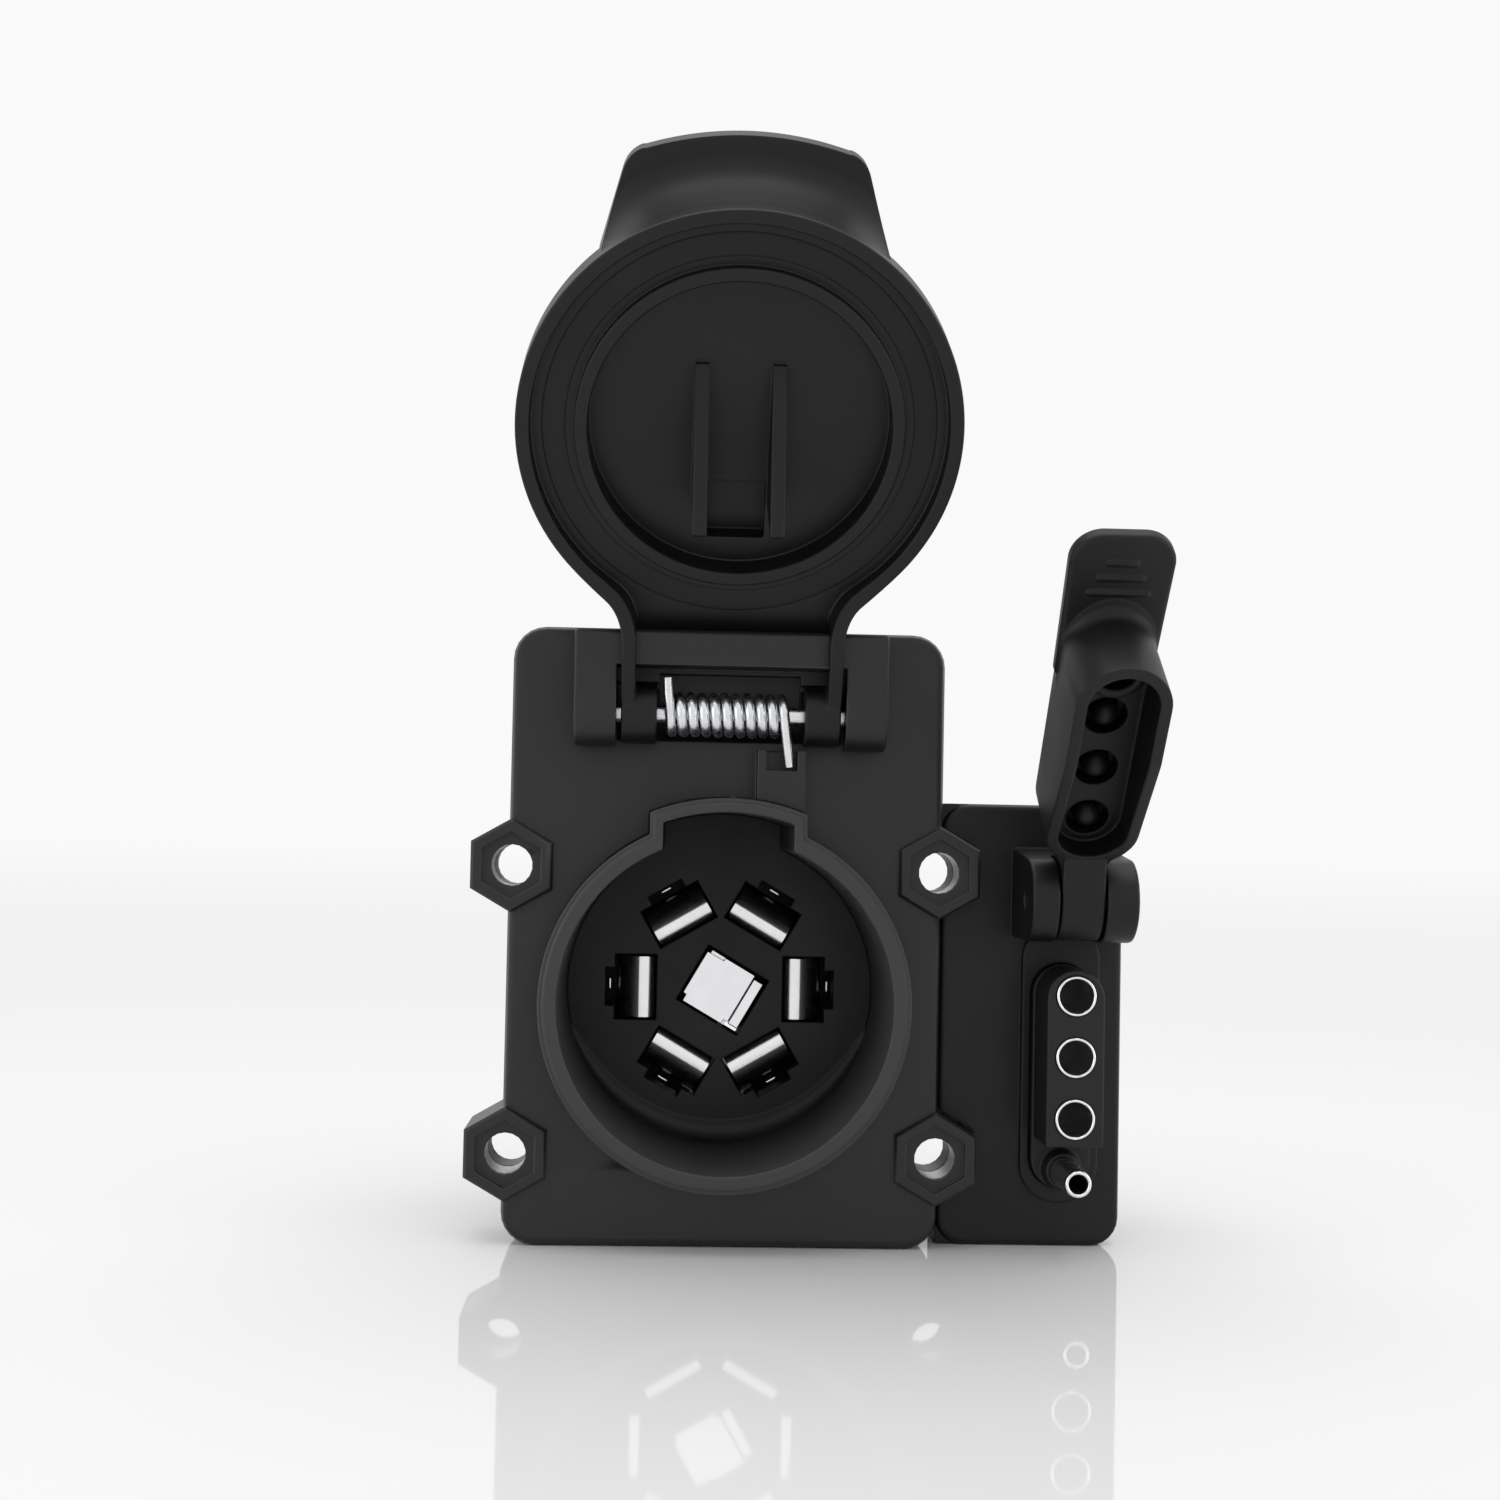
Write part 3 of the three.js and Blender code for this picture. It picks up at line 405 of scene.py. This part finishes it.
for k in range(COVE_STEPS + 1):
    turn = COVE_ENDS[0] + (COVE_ENDS[1] - COVE_ENDS[0]) * k / COVE_STEPS
    swell = max(sin(pi * k / COVE_STEPS), 0.02) ** 0.5
    c, s = cos(radians(turn)), sin(radians(turn))
    loop = [cove.verts.new(((WALL_R + p * swell) * c, FLOOR + d * (swell if d < 0 else 1),
                            SOCKET_Z + (WALL_R + p * swell) * s)) for p, d in profile]
    rings.append([cove.edges.new((loop[n - 1], loop[n])) for n in range(len(loop))])
for first, second in zip(rings, rings[1:]):
    bmesh.ops.bridge_loops(cove, edges=first + second)
bmesh.ops.contextual_create(cove, geom=rings[0])
bmesh.ops.contextual_create(cove, geom=rings[-1])
bmesh.ops.recalc_face_normals(cove, faces=cove.faces[:])
finish("socket_floor", together(plate, cove), HOUSING, shaded_insert, ["contact_carrier"])

# %% [markdown]
# ## Blade contacts
# Each contact is a strip of plated brass, bent over a crest that a plug's blade slides past. A strip is one
# bent line made wide and then given a thickness, as the real one is bent from flat stock.


# %% Bent strips
def strip(line, half, thick, edge=0.08):
    """A bent line of (outwards, depth), made as wide as half to each side and thick."""
    bm = bmesh.new()
    points = [bm.verts.new((p, q, -half)) for p, q in line]
    edges = [bm.edges.new(pair) for pair in zip(points, points[1:])]
    grown = bmesh.ops.extrude_edge_only(bm, edges=edges)["geom"]
    far_side = [v for v in grown if isinstance(v, bmesh.types.BMVert)]
    bmesh.ops.translate(bm, verts=far_side, vec=(0, 0, 2 * half))
    bmesh.ops.recalc_face_normals(bm, faces=bm.faces[:])
    bmesh.ops.solidify(bm, geom=bm.faces[:], thickness=thick)
    bmesh.ops.recalc_face_normals(bm, faces=bm.faces[:])
    return bevel(bm, edge, 60, 2)


def turn_to(bm, angle):
    """Turns a shape drawn with outwards along x to its place round the socket."""
    bm.transform(Matrix.Translation((0, 0, SOCKET_Z)) @ Matrix.Rotation(radians(-angle), 4, "Y"))
    return bm


BLADE_HALF, BLADE_THICK, HOOK_HALF, HOOK_THICK = 4.6, 0.5, 0.8, 0.3
for k, angle in enumerate(BLADE_ANGLES):
    c, f = WINDOW_AT, FLOOR
    crest = outline([(c - 2.65, f + 12)], arc(c - 1.25, f + 2.1, 1.4, 180, 268, 14),
                    bend((c - 0.7, f + 0.71), (c + 0.4, f + 0.95), (c + 1.7, f + 2.2), (c + 2.5, f + 6), 14))
    hook = [(c + 3.85, f + 6), (c + 3.9, f + 12)]
    blade = together(strip(crest, BLADE_HALF, BLADE_THICK), strip(hook, HOOK_HALF, HOOK_THICK),
                     slab("y", rounded_box(c - 2.84, c - 2.46, -2.2, 2.2, 0.1, 2), f + 11, f + 17))
    finish(f"blade_{k + 1}", turn_to(blade, angle), HOUSING, tin,
           [f"blade_contact_{k + 1}"])

# %% [markdown]
# ## Centre contact
# The middle contact is a folded clip. From the front it is a bright square with a notch in one corner and
# a narrow hemmed strip beside it, so it is two outlines with softly bent edges.

# %% Centre contact
face = outline([(-4.45, -3.3), (-3.9, -3.3), (-3.9, -4.4), (2.9, -4.4), (2.9, -3.7), (3.6, -3.7), (3.6, 4.4),
                (-1.6, 4.4), (-1.6, 3.9), (-4.45, 3.9)])
hem = [(3.74, -3.9), (5.4, -3.9), (5.4, 3.9), (3.74, 3.9)]
under = [(-3.9, -4.5), (3.3, -4.5), (3.3, 4.4), (-3.9, 4.4)]
left_leg = [(-4.45, -3.2), (-3.85, -3.2), (-3.85, 3.8), (-4.45, 3.8)]
right_leg = [(2.95, -3.6), (3.55, -3.6), (3.55, 4.3), (2.95, 4.3)]
tail = [(-4.4, -2.2), (-3.9, -2.2), (-3.9, 2.2), (-4.4, 2.2)]
clip = together(slab("y", face, FLOOR - 0.9, FLOOR - 0.2, 0.12),
                slab("y", under, FLOOR + 0.1, FLOOR + 0.5, 0.1),
                slab("y", hem, FLOOR - 0.5, FLOOR + 0.2, 0.2),
                slab("y", left_leg, FLOOR - 0.5, FLOOR + 9, 0.1),
                slab("y", right_leg, FLOOR - 0.5, FLOOR + 9, 0.1),
                slab("y", tail, FLOOR + 8, FLOOR + 16, 0.08))
finish("centre_clip", turn_to(clip, SEAT_TURN), HOUSING, tin, ["centre_contact"])

# %% [markdown]
# ## Bushes, pins and tubes
# Round metal parts are profiles spun round their own lines: the four bushes in the mounting holes, the
# three tubes of the flat connector with their rolled rims, its bare pin and the two hinge pins.

# %% Turned metal
BOSS_PLACES = [(side * 30.0, z) for side in (-1, 1) for z in (12.8, 52.8)]
FLAT_X, PIN_Z, TUBES = 48.1, 11.4, (19.7, 28.1, 36.5)  # across, and the heights of the pin and the tubes
METAL_BACK = 20  # the tubes and the pin end at this depth, out of sight
for k, (x, z) in enumerate(BOSS_PLACES):
    bush = turned("y", [(2.9, 1.1), (3.05, 0.95), (3.58, 0.95), (3.58, 6.45), (2.9, 6.45)], x, z, 64)
    finish(f"bush_{k + 1}", bush, HOUSING, zinc, [f"mount_sleeve_{k + 1}"])
for k, z in enumerate(TUBES):
    rim = arc(2.55, -8.1, 0.2, 180, 360, 8)
    tube = turned("y", [(2.35, METAL_BACK)] + rim + [(2.75, METAL_BACK)], FLAT_X, z, 72)
    finish(f"tube_{k + 1}", tube, HOUSING, tin, [f"female_contact_{k + 1}"])
nose = arc(1.55, -10.75, 0.25, 180, 360, 8) + bend((1.8, -10.7), (1.95, -10.2), (1.95, -9.6), (1.95, -9), 6)
bare_pin = turned("y", [(1.3, METAL_BACK)] + nose + [(1.95, METAL_BACK)], FLAT_X, PIN_Z, 64)
finish("bare_pin", bare_pin, HOUSING, tin, ["male_pin"])
for name, hinge, half, r in (
        ("lid_hinge_pin", LID_HINGE, 21.0, 1.25), ("cap_hinge_pin", CAP_HINGE, 6.6, 1.3)):
    ends = [(0, -half), (r - 0.2, -half), (r, -half + 0.2), (r, half - 0.2), (r - 0.2, half), (0, half)]
    rod = turned("y", ends, 0, 0, 48)
    rod.transform(Matrix.Translation(hinge) @ Matrix.Rotation(radians(-90), 4, "Z"))
    finish(name.replace("_pin", "_rod"), rod, HOUSING, wire_steel, [name])

# %% [markdown]
# ## Lid spring
# Ten turns of round wire sit on the hinge pin. One leg stands up in front of the coil and turns with the
# lid, the other goes down into its seat and stays. A curve with a round bevel gives the wire, and it is
# turned to a mesh.

# %% Lid spring
COIL_R, WIRE_R, TURNS, LEFT, RIGHT = 2.45, 0.72, 10, -8.4, 7.4
wire_line = [(LEFT - 0.4, -COIL_R - 0.6, 4.9), (LEFT - 0.2, -COIL_R - 0.3, 2.4)]
STEPS = 28  # points in one turn
for k in range(TURNS * STEPS + 1):
    a = 2 * pi * k / STEPS
    wire_line.append((LEFT + (RIGHT - LEFT) * k / (TURNS * STEPS), -COIL_R * cos(a), -COIL_R * sin(a)))
wire_line += [(RIGHT + 0.35, -COIL_R + 0.7, -2.6), (RIGHT + 0.9, -COIL_R + 1.9, -6.9)]
wire = bpy.data.curves.new("spring wire", "CURVE")
wire.dimensions, wire.bevel_depth, wire.bevel_resolution, wire.use_fill_caps = "3D", WIRE_R, 4, True
spline = wire.splines.new("POLY")
spline.points.add(len(wire_line) - 1)
for point, (x, y, z) in zip(spline.points, wire_line):
    point.co = (x, LID_HINGE.y + y, LID_HINGE.z + z, 1)
holder = bpy.data.objects.new("spring wire", wire)
coil = bmesh.new()
coil.from_mesh(bpy.data.meshes.new_from_object(holder))
bpy.data.objects.remove(holder)
bmesh.ops.remove_doubles(coil, verts=coil.verts[:], dist=1e-4)
bmesh.ops.recalc_face_normals(coil, faces=coil.faces[:])
spring = finish("lid_coil", coil, None, wire_steel, ["lid_spring"])
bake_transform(spring)

# %% [markdown]
# ## Lid
# The lid is drawn flat: x across, y from the hinge to the finger tab, z towards the socket it shuts. Its
# outline is a circle drawn in by two fillets to a neck. The lip, the floor, the raised ring, the sunk disc
# with its pocket and the deep round back are each a simple solid, and together they read as one moulding.

# %% Lid: plate, lip, ring and disc
REACH, LID_R, LIP_R, NECK, FILLET = 39.9, 29.4, 27.5, 15.1, 6.0
LID_FLOOR, LIP_TOP, BACK = -4.9, -2.4, -15.6


def lid_shape(r, neck, fillet, low):
    fy = REACH - sqrt((r + fillet) ** 2 - (neck + fillet) ** 2)
    meets = degrees(atan2(REACH - fy, -(neck + fillet)))
    starts = degrees(asin(max(low - fy, 0) / fillet))  # a cut above the fillet's foot shortens the fillet
    foot = [(neck, low)] if low < fy else []
    return outline(foot, arc(neck + fillet, fy, fillet, 180 - starts, meets, 12),
                   arc(0, REACH, r, meets - 180, 360 - meets, 128),
                   arc(-neck - fillet, fy, fillet, 180 - meets, starts, 12), [(-x, y) for x, y in foot])


LIP_LOW = 12.6
outer, inner = lid_shape(LID_R, NECK, FILLET, LIP_LOW), lid_shape(LIP_R, NECK - 1.9, FILLET + 1.9, LIP_LOW)
circle = arc(0, REACH, 21.7, 0, 357, 119)
floor_plate = slab("z", lid_shape(LID_R - 0.3, NECK - 0.3, FILLET, 10.4), -7.7, LID_FLOOR, 0, [circle])
lip_wall = slab("z", outline(outer, inner[::-1]), -7.6, LIP_TOP, 0.3)
ring_top = LID_FLOOR + 1.5
ring = turned("z", [(20, -8.2), (20, ring_top - 0.2), (20.2, ring_top), (21.6, ring_top),
                    (21.8, ring_top - 0.2), (21.8, -8.2)], 0, REACH, 120)
pocket = rounded_box(-3.9, 3.9, 23.4, 31.6, 0.3, 3)
disc = slab("z", arc(0, REACH, 20.2, 0, 357, 119), -11.3, -7.9, 0, [pocket])
ribs = [slab("x", [(48, -8.2), (48, -7.2), (28.7, 4.6), (28.3, 4.2), (28.3, -8.2)], x - 0.95, x + 0.95, 0.15)
        for x in (-5.1, 5.1)]

# %% [markdown]
# The back of the lid is a profile spun round its middle. The finger tab flares out of it: a hollow curve,
# also round the lid's middle, runs down to a flat flange. The tab is a grid of faces in columns, lifted to
# that curve and given its depth by an extrusion.

# %% Lid: back and finger tab
dome = turned("z", [(0, -11.1), (20.3, -11.1), (20.3, -7.2), (LID_R, -7.2), (27.6, -13.6)]
              + [(25.6 + 2 * cos(radians(t)), -13.6 - 2 * sin(radians(t))) for t in (30, 60, 90)]
              + [(20.5, -16.2), (19.9, BACK), (18.6, BACK), (18, -16.3), (9, -16.9), (0, -17.1)],
              0, REACH, 128)
TAB_FOOT, TAB_CREASE, FLANGE = 29.2, 33.7, BACK + 2.9  # radii of the hollow's ends, height of the flange
hollow = bend((TAB_FOOT, -3.8), (29.8, -9), (31.1, -11.4), (TAB_CREASE, FLANGE), 24)


def tab_height(radius):
    """How high the tab's face is at a distance from the lid's middle."""
    for (r0, h0), (r1, h1) in zip(hollow, hollow[1:]):
        if r0 <= radius <= r1:
            return h0 + (h1 - h0) * (radius - r0) / (r1 - r0)
    return -3.8 if radius < TAB_FOOT else FLANGE


def tab_reach(x):
    """How far out the tab goes, at a distance across from its middle line."""
    x = abs(x)
    bow = [(13 * (1 - t / 20), 74.15 + 2 * (1 - (1 - t / 20) ** 2)) for t in range(21)][::-1]
    corner = bend((13, 74.3), (14.5, 73.8), (15.6, 72.8), (16, 71), 10)
    side = bow + corner[1:] + [(19.2, 60)]
    for (x0, v0), (x1, v1) in zip(side, side[1:]):
        if x0 <= x <= x1:
            return v0 + (v1 - v0) * (x - x0) / (x1 - x0)
    return side[-1][1]


TAB_HALF, TAB_FROM = 18.9, 27.6  # half width, and the radius it starts from inside the lip's wall
tab = bmesh.new()
bmesh.ops.create_grid(tab, x_segments=96, y_segments=36, size=1)
for v in tab.verts:
    x = TAB_HALF * v.co.x
    low = REACH + sqrt(TAB_FROM**2 - x * x)
    y = low + (max(tab_reach(x), low + 0.3) - low) * (v.co.y + 1) / 2
    v.co = (x, y, tab_height(sqrt(x * x + (y - REACH) ** 2)))
skin = bmesh.ops.extrude_face_region(tab, geom=tab.faces[:], use_keep_orig=True)["geom"]
for v in (v for v in skin if isinstance(v, bmesh.types.BMVert)):
    v.co.z = BACK
bmesh.ops.recalc_face_normals(tab, faces=tab.faces[:])
bevel(tab, 0.45, 50, 3)

# %% [markdown]
# Two arms reach over the hinge block to the knuckles that turn on the pin. Each arm carries the lip's wall
# on down the neck: a row of cross-sections that follow the lid's outline, bridged one to the next. The
# knuckle is a short drum.

# %% Lid: arms and knuckles
ARM_END = 20.0
top_line = [(2.93, 3.01), (8.4, 2.9)] + bend((8.4, 2.9), (13, 2.9), (15, LIP_TOP), (ARM_END, LIP_TOP), 16)
low_line = [(2.93, -1.6), (3.6, -2.1), (8, 1.15), (12.4, -1.4), (12.41, -7.6), (ARM_END, -7.6)]


def height_at(line, y):
    """The height of a bent line of (y, height) at y."""
    for (y0, h0), (y1, h1) in zip(line, line[1:]):
        if y0 <= y <= y1 and y1 > y0:
            return h0 + (h1 - h0) * (y - y0) / (y1 - y0)
    return line[-1][1] if y > line[-1][0] else line[0][1]


def wall_side(y, r, neck, fillet):
    """How far out the lip's wall is at a height y, on the neck, its fillet or the rim."""
    foot = REACH - sqrt((r + fillet) ** 2 - (neck + fillet) ** 2)
    meets = REACH - (REACH - foot) * r / (r + fillet)
    if y < foot:
        return neck
    return neck + fillet - sqrt(fillet**2 - (y - foot) ** 2) if y < meets else sqrt(r * r - (REACH - y) ** 2)


STATIONS = [2.93, 3.6, 5, 6.5, 8, 9, 10, 11.3, 12.39, 12.42] + [13 + 0.5 * k for k in range(15)]
ARM_ROUND = 0.25  # the rounding of the arm's front edges
arms = []
for side in (-1, 1):
    web, stations = bmesh.new(), []
    for y in STATIONS:
        out, into = wall_side(y, LID_R, NECK, FILLET), wall_side(y, LIP_R, NECK - 1.9, FILLET + 1.9)
        top, low = height_at(top_line, y), height_at(low_line, y)
        e = ARM_ROUND
        section = [(into, low), (out, low), (out, top - e), (out - 0.3 * e, top - 0.3 * e), (out - e, top),
                   (into + e, top), (into + 0.3 * e, top - 0.3 * e), (into, top - e)]
        corners = [web.verts.new((side * p, y, q)) for p, q in section]
        stations.append([web.edges.new((corners[k - 1], corners[k])) for k in range(len(corners))])
    for first, second in zip(stations, stations[1:]):
        bmesh.ops.bridge_loops(web, edges=first + second)
    bmesh.ops.contextual_create(web, geom=stations[0])
    bmesh.ops.contextual_create(web, geom=stations[-1])
    bmesh.ops.recalc_face_normals(web, faces=web.faces[:])
    arms.append(web)
    drum = turned("y", [(0, 10.2), (4.0, 10.2), (4.2, 10.4), (4.2, 14.9), (4.0, 15.1), (0, 15.1)], 0, 0, 72)
    drum.transform(Matrix.Rotation(radians(-90 * side), 4, "Z"))
    arms.append(drum)
finish("lid_moulding", together(floor_plate, lip_wall, ring, disc, dome, tab, *ribs, *arms), LID_BODY,
       shaded_nylon, ["lid"], LID, 40)
seal = turned("z", [(22.95, -5.5), (22.95, -4.9), (23.05, -4.84), (26.0, -4.84), (26.1, -4.9), (26.1, -5.5)],
              0, REACH, 120)
finish("lid_seal_ring", seal, LID_BODY, rubber, ["lid_seal"], LID)

# %% [markdown]
# ## Flat connector
# Beside the round socket stands a narrower housing for the flat connector. Its shell comes from the CAD
# node, with rounded edges. The connector itself is a slot-shaped base, a block with three holes for the
# tubes, and a small collar round the foot of the bare pin.


# %% Flat housing and connector
def round_ended(x, half, low, high, steps=16, rows=1):
    """A slot with round ends; rows are the points along each straight side."""
    a, b = low + half, high - half
    right = [(x + half, a + (b - a) * k / rows) for k in range(1, rows)]
    left = [(x - half, b + (a - b) * k / rows) for k in range(1, rows)]
    return outline(arc(x, a, half, 180, 360, steps), right, arc(x, b, half, 0, 180, steps), left)


def circle_at(x, y, r, steps=48):
    return arc(x, y, r, 0, 360 - 360 / steps, steps - 1)


finish("flat_shell", softened("flat_housing", 0.22), HOUSING, shaded_nylon, ["flat_housing"])
base = slab("y", round_ended(FLAT_X, 4.2, 8.6, 40.2), 1.5, 24, 0.2, [circle_at(FLAT_X, PIN_Z, 2.05)])
block_shape = outline([(FLAT_X - 3.95, 15.9), (FLAT_X + 3.95, 15.9)], arc(FLAT_X, 36.05, 3.95, 0, 180, 32))
block = slab("y", block_shape, -8, 3, 0.2, [circle_at(FLAT_X, z, 2.8) for z in TUBES])
collar = turned("y", [(2.0, 2.5), (2.0, -0.6), (2.4, -0.6), (2.7, 0.2), (3.0, 2.5)], FLAT_X, PIN_Z, 64)
finish("flat_block", together(base, block, collar), HOUSING, shaded_insert, ["flat_connector_body"])

# %% [markdown]
# ## Cap
# The soft cap is drawn flat too. Its cup is a stack of slot outlines bridged into a wall: low down, the far
# end spreads into the paddle in a hollow fillet, and the rim falls away towards the hinge. A bridge between
# matching loops gives such a changing wall more easily than an extrusion can.

# %% Cap: cup
CAP_BACK, CUP_FLOOR, CUP_RIM, PADDLE_TOP, FILLET_R = -8.6, -1.9, 6.4, -6.2, 2.2
WELLS, RING_ROW = (13.1, 21.5, 29.9), 38.2


def rim_height(y):
    return CUP_RIM if y > 28 else 1.4 + (y - 8) * (CUP_RIM - 1.4) / 20


def cup_loop(bm, half, low, high, height, spread=0.0, to_rim=0.0):
    """A ring of points round the cup; spread widens its far end, to_rim lifts it to the sloping rim."""
    ring = []
    for x, y in round_ended(0, half, low, high, 24, 22):
        far = min(max((y - 30) / 9, 0), 1)
        far *= far * (3 - 2 * far)
        middle = Vector((0, min(max(y, low + half), high - half)))
        away = (Vector((x, y)) - middle).normalized() * spread * far
        z = height + (rim_height(y) - height) * to_rim
        ring.append(bm.verts.new((x + 0.16 * away.x, y + away.y, z)))
    return [bm.edges.new((ring[k - 1], ring[k])) for k in range(len(ring))]


cup = bmesh.new()
loops = [cup_loop(cup, 6.1, 7.4, 42.8, CAP_BACK)]
for t in range(0, 91, 10):
    rise = FILLET_R * (1 - cos(radians(t)))
    loops.append(cup_loop(cup, 6.1, 7.4, 42.8, PADDLE_TOP + rise, FILLET_R * (1 - sin(radians(t)))))
loops += [cup_loop(cup, 6.1, 7.4, 42.8, 0, 0, 0.5), cup_loop(cup, 6.1, 7.4, 42.8, 0, 0, 1),
          cup_loop(cup, 4.6, 9, 41.3, 0, 0, 1), cup_loop(cup, 4.6, 9, 41.3, CUP_FLOOR - 3)]
for lower, upper in zip(loops, loops[1:]):
    bmesh.ops.bridge_loops(cup, edges=lower + upper)
bmesh.ops.contextual_create(cup, geom=loops[0])
bmesh.ops.contextual_create(cup, geom=loops[-1])
bmesh.ops.recalc_face_normals(cup, faces=cup.faces[:])
bevel(cup, 0.55, 60, 3)

# %% [markdown]
# The cup's floor has three wells with a round post in each, which fill the tubes when the cap is shut, and
# a ring that takes the bare pin. The paddle carries three raised bars for the finger, and a tongue turns on
# the hinge pin.

# %% Cap: floor, paddle and tongue
wells = [circle_at(0, y, 2.9) for y in WELLS] + [circle_at(0, RING_ROW, 2.6)]
cup_floor = slab("z", round_ended(0, 4.75, 8.9, 41.4), -4.8, CUP_FLOOR, 0, wells)
POST_R, POST_SHOULDER = 1.9, -3.1
post_end = [(POST_R * cos(radians(t)), POST_SHOULDER + POST_R * sin(radians(t))) for t in range(15, 90, 15)]
post_line = [(0, -7), (POST_R, -7), (POST_R, POST_SHOULDER)] + post_end + [(0, -1.2)]
posts = [turned("z", post_line, 0, y, 40) for y in WELLS]
receptor = turned("z", [(2.6, -4.5), (2.6, 0.3), (2.8, 0.5), (3.8, 0.5), (4.0, 0.3), (4.0, -4.5)],
                  0, RING_ROW, 64)
paddle_shape = outline([(-6.5, 33)], arc(-2.6, 50, 4.2, 176, 90, 14), arc(2.6, 50, 4.2, 90, 4, 14),
                       [(6.5, 33)])
paddle = slab("z", paddle_shape, -8.5, PADDLE_TOP, 0.6, rounds=4)
bars = [turned("x", [(0, -h - 0.4), (0.28, -h - 0.28), (0.4, -h), (0.4, h), (0.28, h + 0.28), (0, h + 0.4)],
               y, PADDLE_TOP, 24) for y, h in ((45.9, 3.7), (48.1, 2.7), (50.3, 1.7))]
tongue_shape = outline([(9.6, -7.2), (4, -5.2)], arc(0, 0, 5.5, -60, -303, 48),
                       [(8.7, 1.2), (8.7, -2.5), (9.6, -2.5)])
tongue = slab("x", tongue_shape, -2.95, 2.95, 0.35)
flank = bend((2.9, 5.2), (2.9, 7.4), (4.2, 8.0), (5.3, 10.2), 12)
other_flank = [(-x, y) for x, y in flank[::-1]]
neck = slab("z", outline(flank, arc(0, 13.5, 5.3, -33, -147, 24), other_flank), -7.2, 0.9, 0.3)
finish("cap_moulding", together(cup, cup_floor, *posts, receptor, paddle, *bars, tongue, neck), CAP_BODY,
       rubber, ["cap"], CAP, 50)

# %% [markdown]
# ## Rear pieces
# The back is closed by a cover on a gasket with four screws and a cable gland, and a smaller cover with a
# spout for the flat connector. Their CAD shapes are right, so each gets a merged copy with rounded edges.

# %% Rear pieces
for node, width, material, slot_name in (
        ("rear_cover", 0.25, nylon, "black_moulding"), ("flat_rear_cover", 0.25, nylon, "black_moulding"),
        ("cable_gland", 0.2, shaded_insert, "black_insert"), ("rear_gasket", 0.1, rubber, "black_rubber")):
    finish(node + "_moulding", softened(node, width), HOUSING, material, [node])
for node in [f"rear_screw_{k}" for k in (1, 2, 3, 4)] + [f"flat_screw_{k}" for k in (1, 2)]:
    finish(node + "_head_and_thread", softened(node, 0.08), HOUSING, wire_steel, [node])

# %% [markdown]
# ## Camera, floor and light
# A 48 mm lens stands about 280 mm in front, a little to the left of the round socket and at half the part's
# height. The floor is pale and polished, so the part has a soft reflection under it. The light is an even
# white room with one large soft panel above and a weaker one at each side, which draw thin brighter lines
# along the edges. The panels themselves stay out of sight.

# %% Camera
lens = bpy.data.cameras.new("camera")
lens.lens, lens.sensor_width, lens.clip_start = 48.15, 36, 0.01
camera = bpy.data.objects.new("camera", lens)
bpy.context.collection.objects.link(camera)
YAW, PITCH, ROLL = 0.041, 0.037, 0.02  # radians: to the side, down, and about the line of sight
turn = Matrix(((1, 0, 0), (0, 0, -1), (0, 1, 0)))
turn = Matrix(((cos(YAW), 0, -sin(YAW)), (0, 1, 0), (sin(YAW), 0, cos(YAW)))) @ turn
turn = Matrix(((1, 0, 0), (0, cos(PITCH), sin(PITCH)), (0, -sin(PITCH), cos(PITCH)))) @ turn
turn = Matrix(((cos(ROLL), -sin(ROLL), 0), (sin(ROLL), cos(ROLL), 0), (0, 0, 1))) @ turn
facing = Matrix((turn[0], -turn[1], -turn[2])).transposed().to_4x4()
camera.matrix_world = Matrix.Translation(PART @ Vector((-8.59, -281.737, 59.144))) @ facing
bpy.context.scene.camera = camera
print("camera at", [round(c, 3) for c in camera.location])

# %% Floor
floor_mesh = bpy.data.meshes.new("floor")
floor_bm = bmesh.new()
bmesh.ops.create_grid(floor_bm, x_segments=1, y_segments=1, size=8)
floor_bm.to_mesh(floor_mesh)
floor = bpy.data.objects.new("floor", floor_mesh)
bpy.context.collection.objects.link(floor)
polished = bpy.data.materials.new("white_acrylic_sheet")
polished.use_nodes = True
sheet = polished.node_tree.nodes["Principled BSDF"]
sheet.inputs["Base Color"].default_value = linear("#dcdcdc")
sheet.inputs["Roughness"].default_value = 0.04
sheet.inputs["IOR"].default_value = 1.33
floor_mesh.materials.append(polished)

# %% Light
world = bpy.data.worlds.new("white room")
bpy.context.scene.world = world
world.use_nodes = True
room = world.node_tree.nodes["Background"]
room.inputs["Color"].default_value = (1, 1, 1, 1)
room.inputs["Strength"].default_value = 0.95


def panel(name, at, aim, size, watts):
    """A soft square light that faces a point, both in the drawing's millimetres."""
    light = bpy.data.lights.new(name, "AREA")
    light.shape, light.size, light.energy = "SQUARE", size * MM, watts
    lamp = bpy.data.objects.new(name, light)
    at, aim = PART @ Vector(at), PART @ Vector(aim)
    lamp.matrix_world = Matrix.Translation(at) @ (aim - at).to_track_quat("-Z", "Y").to_matrix().to_4x4()
    bpy.context.collection.objects.link(lamp)
    lamp.visible_camera = False
    return lamp


lamps = [panel("top panel", (0, -60, 600), (0, 0, 60), 500, 1.5),
         panel("left panel", (-420, -160, 120), (0, 0, 60), 260, 0.4),
         panel("right panel", (420, -160, 120), (0, 0, 60), 260, 0.3)]
bpy.context.scene.view_settings.view_transform = "Standard"
bpy.context.scene.view_settings.look = "None"
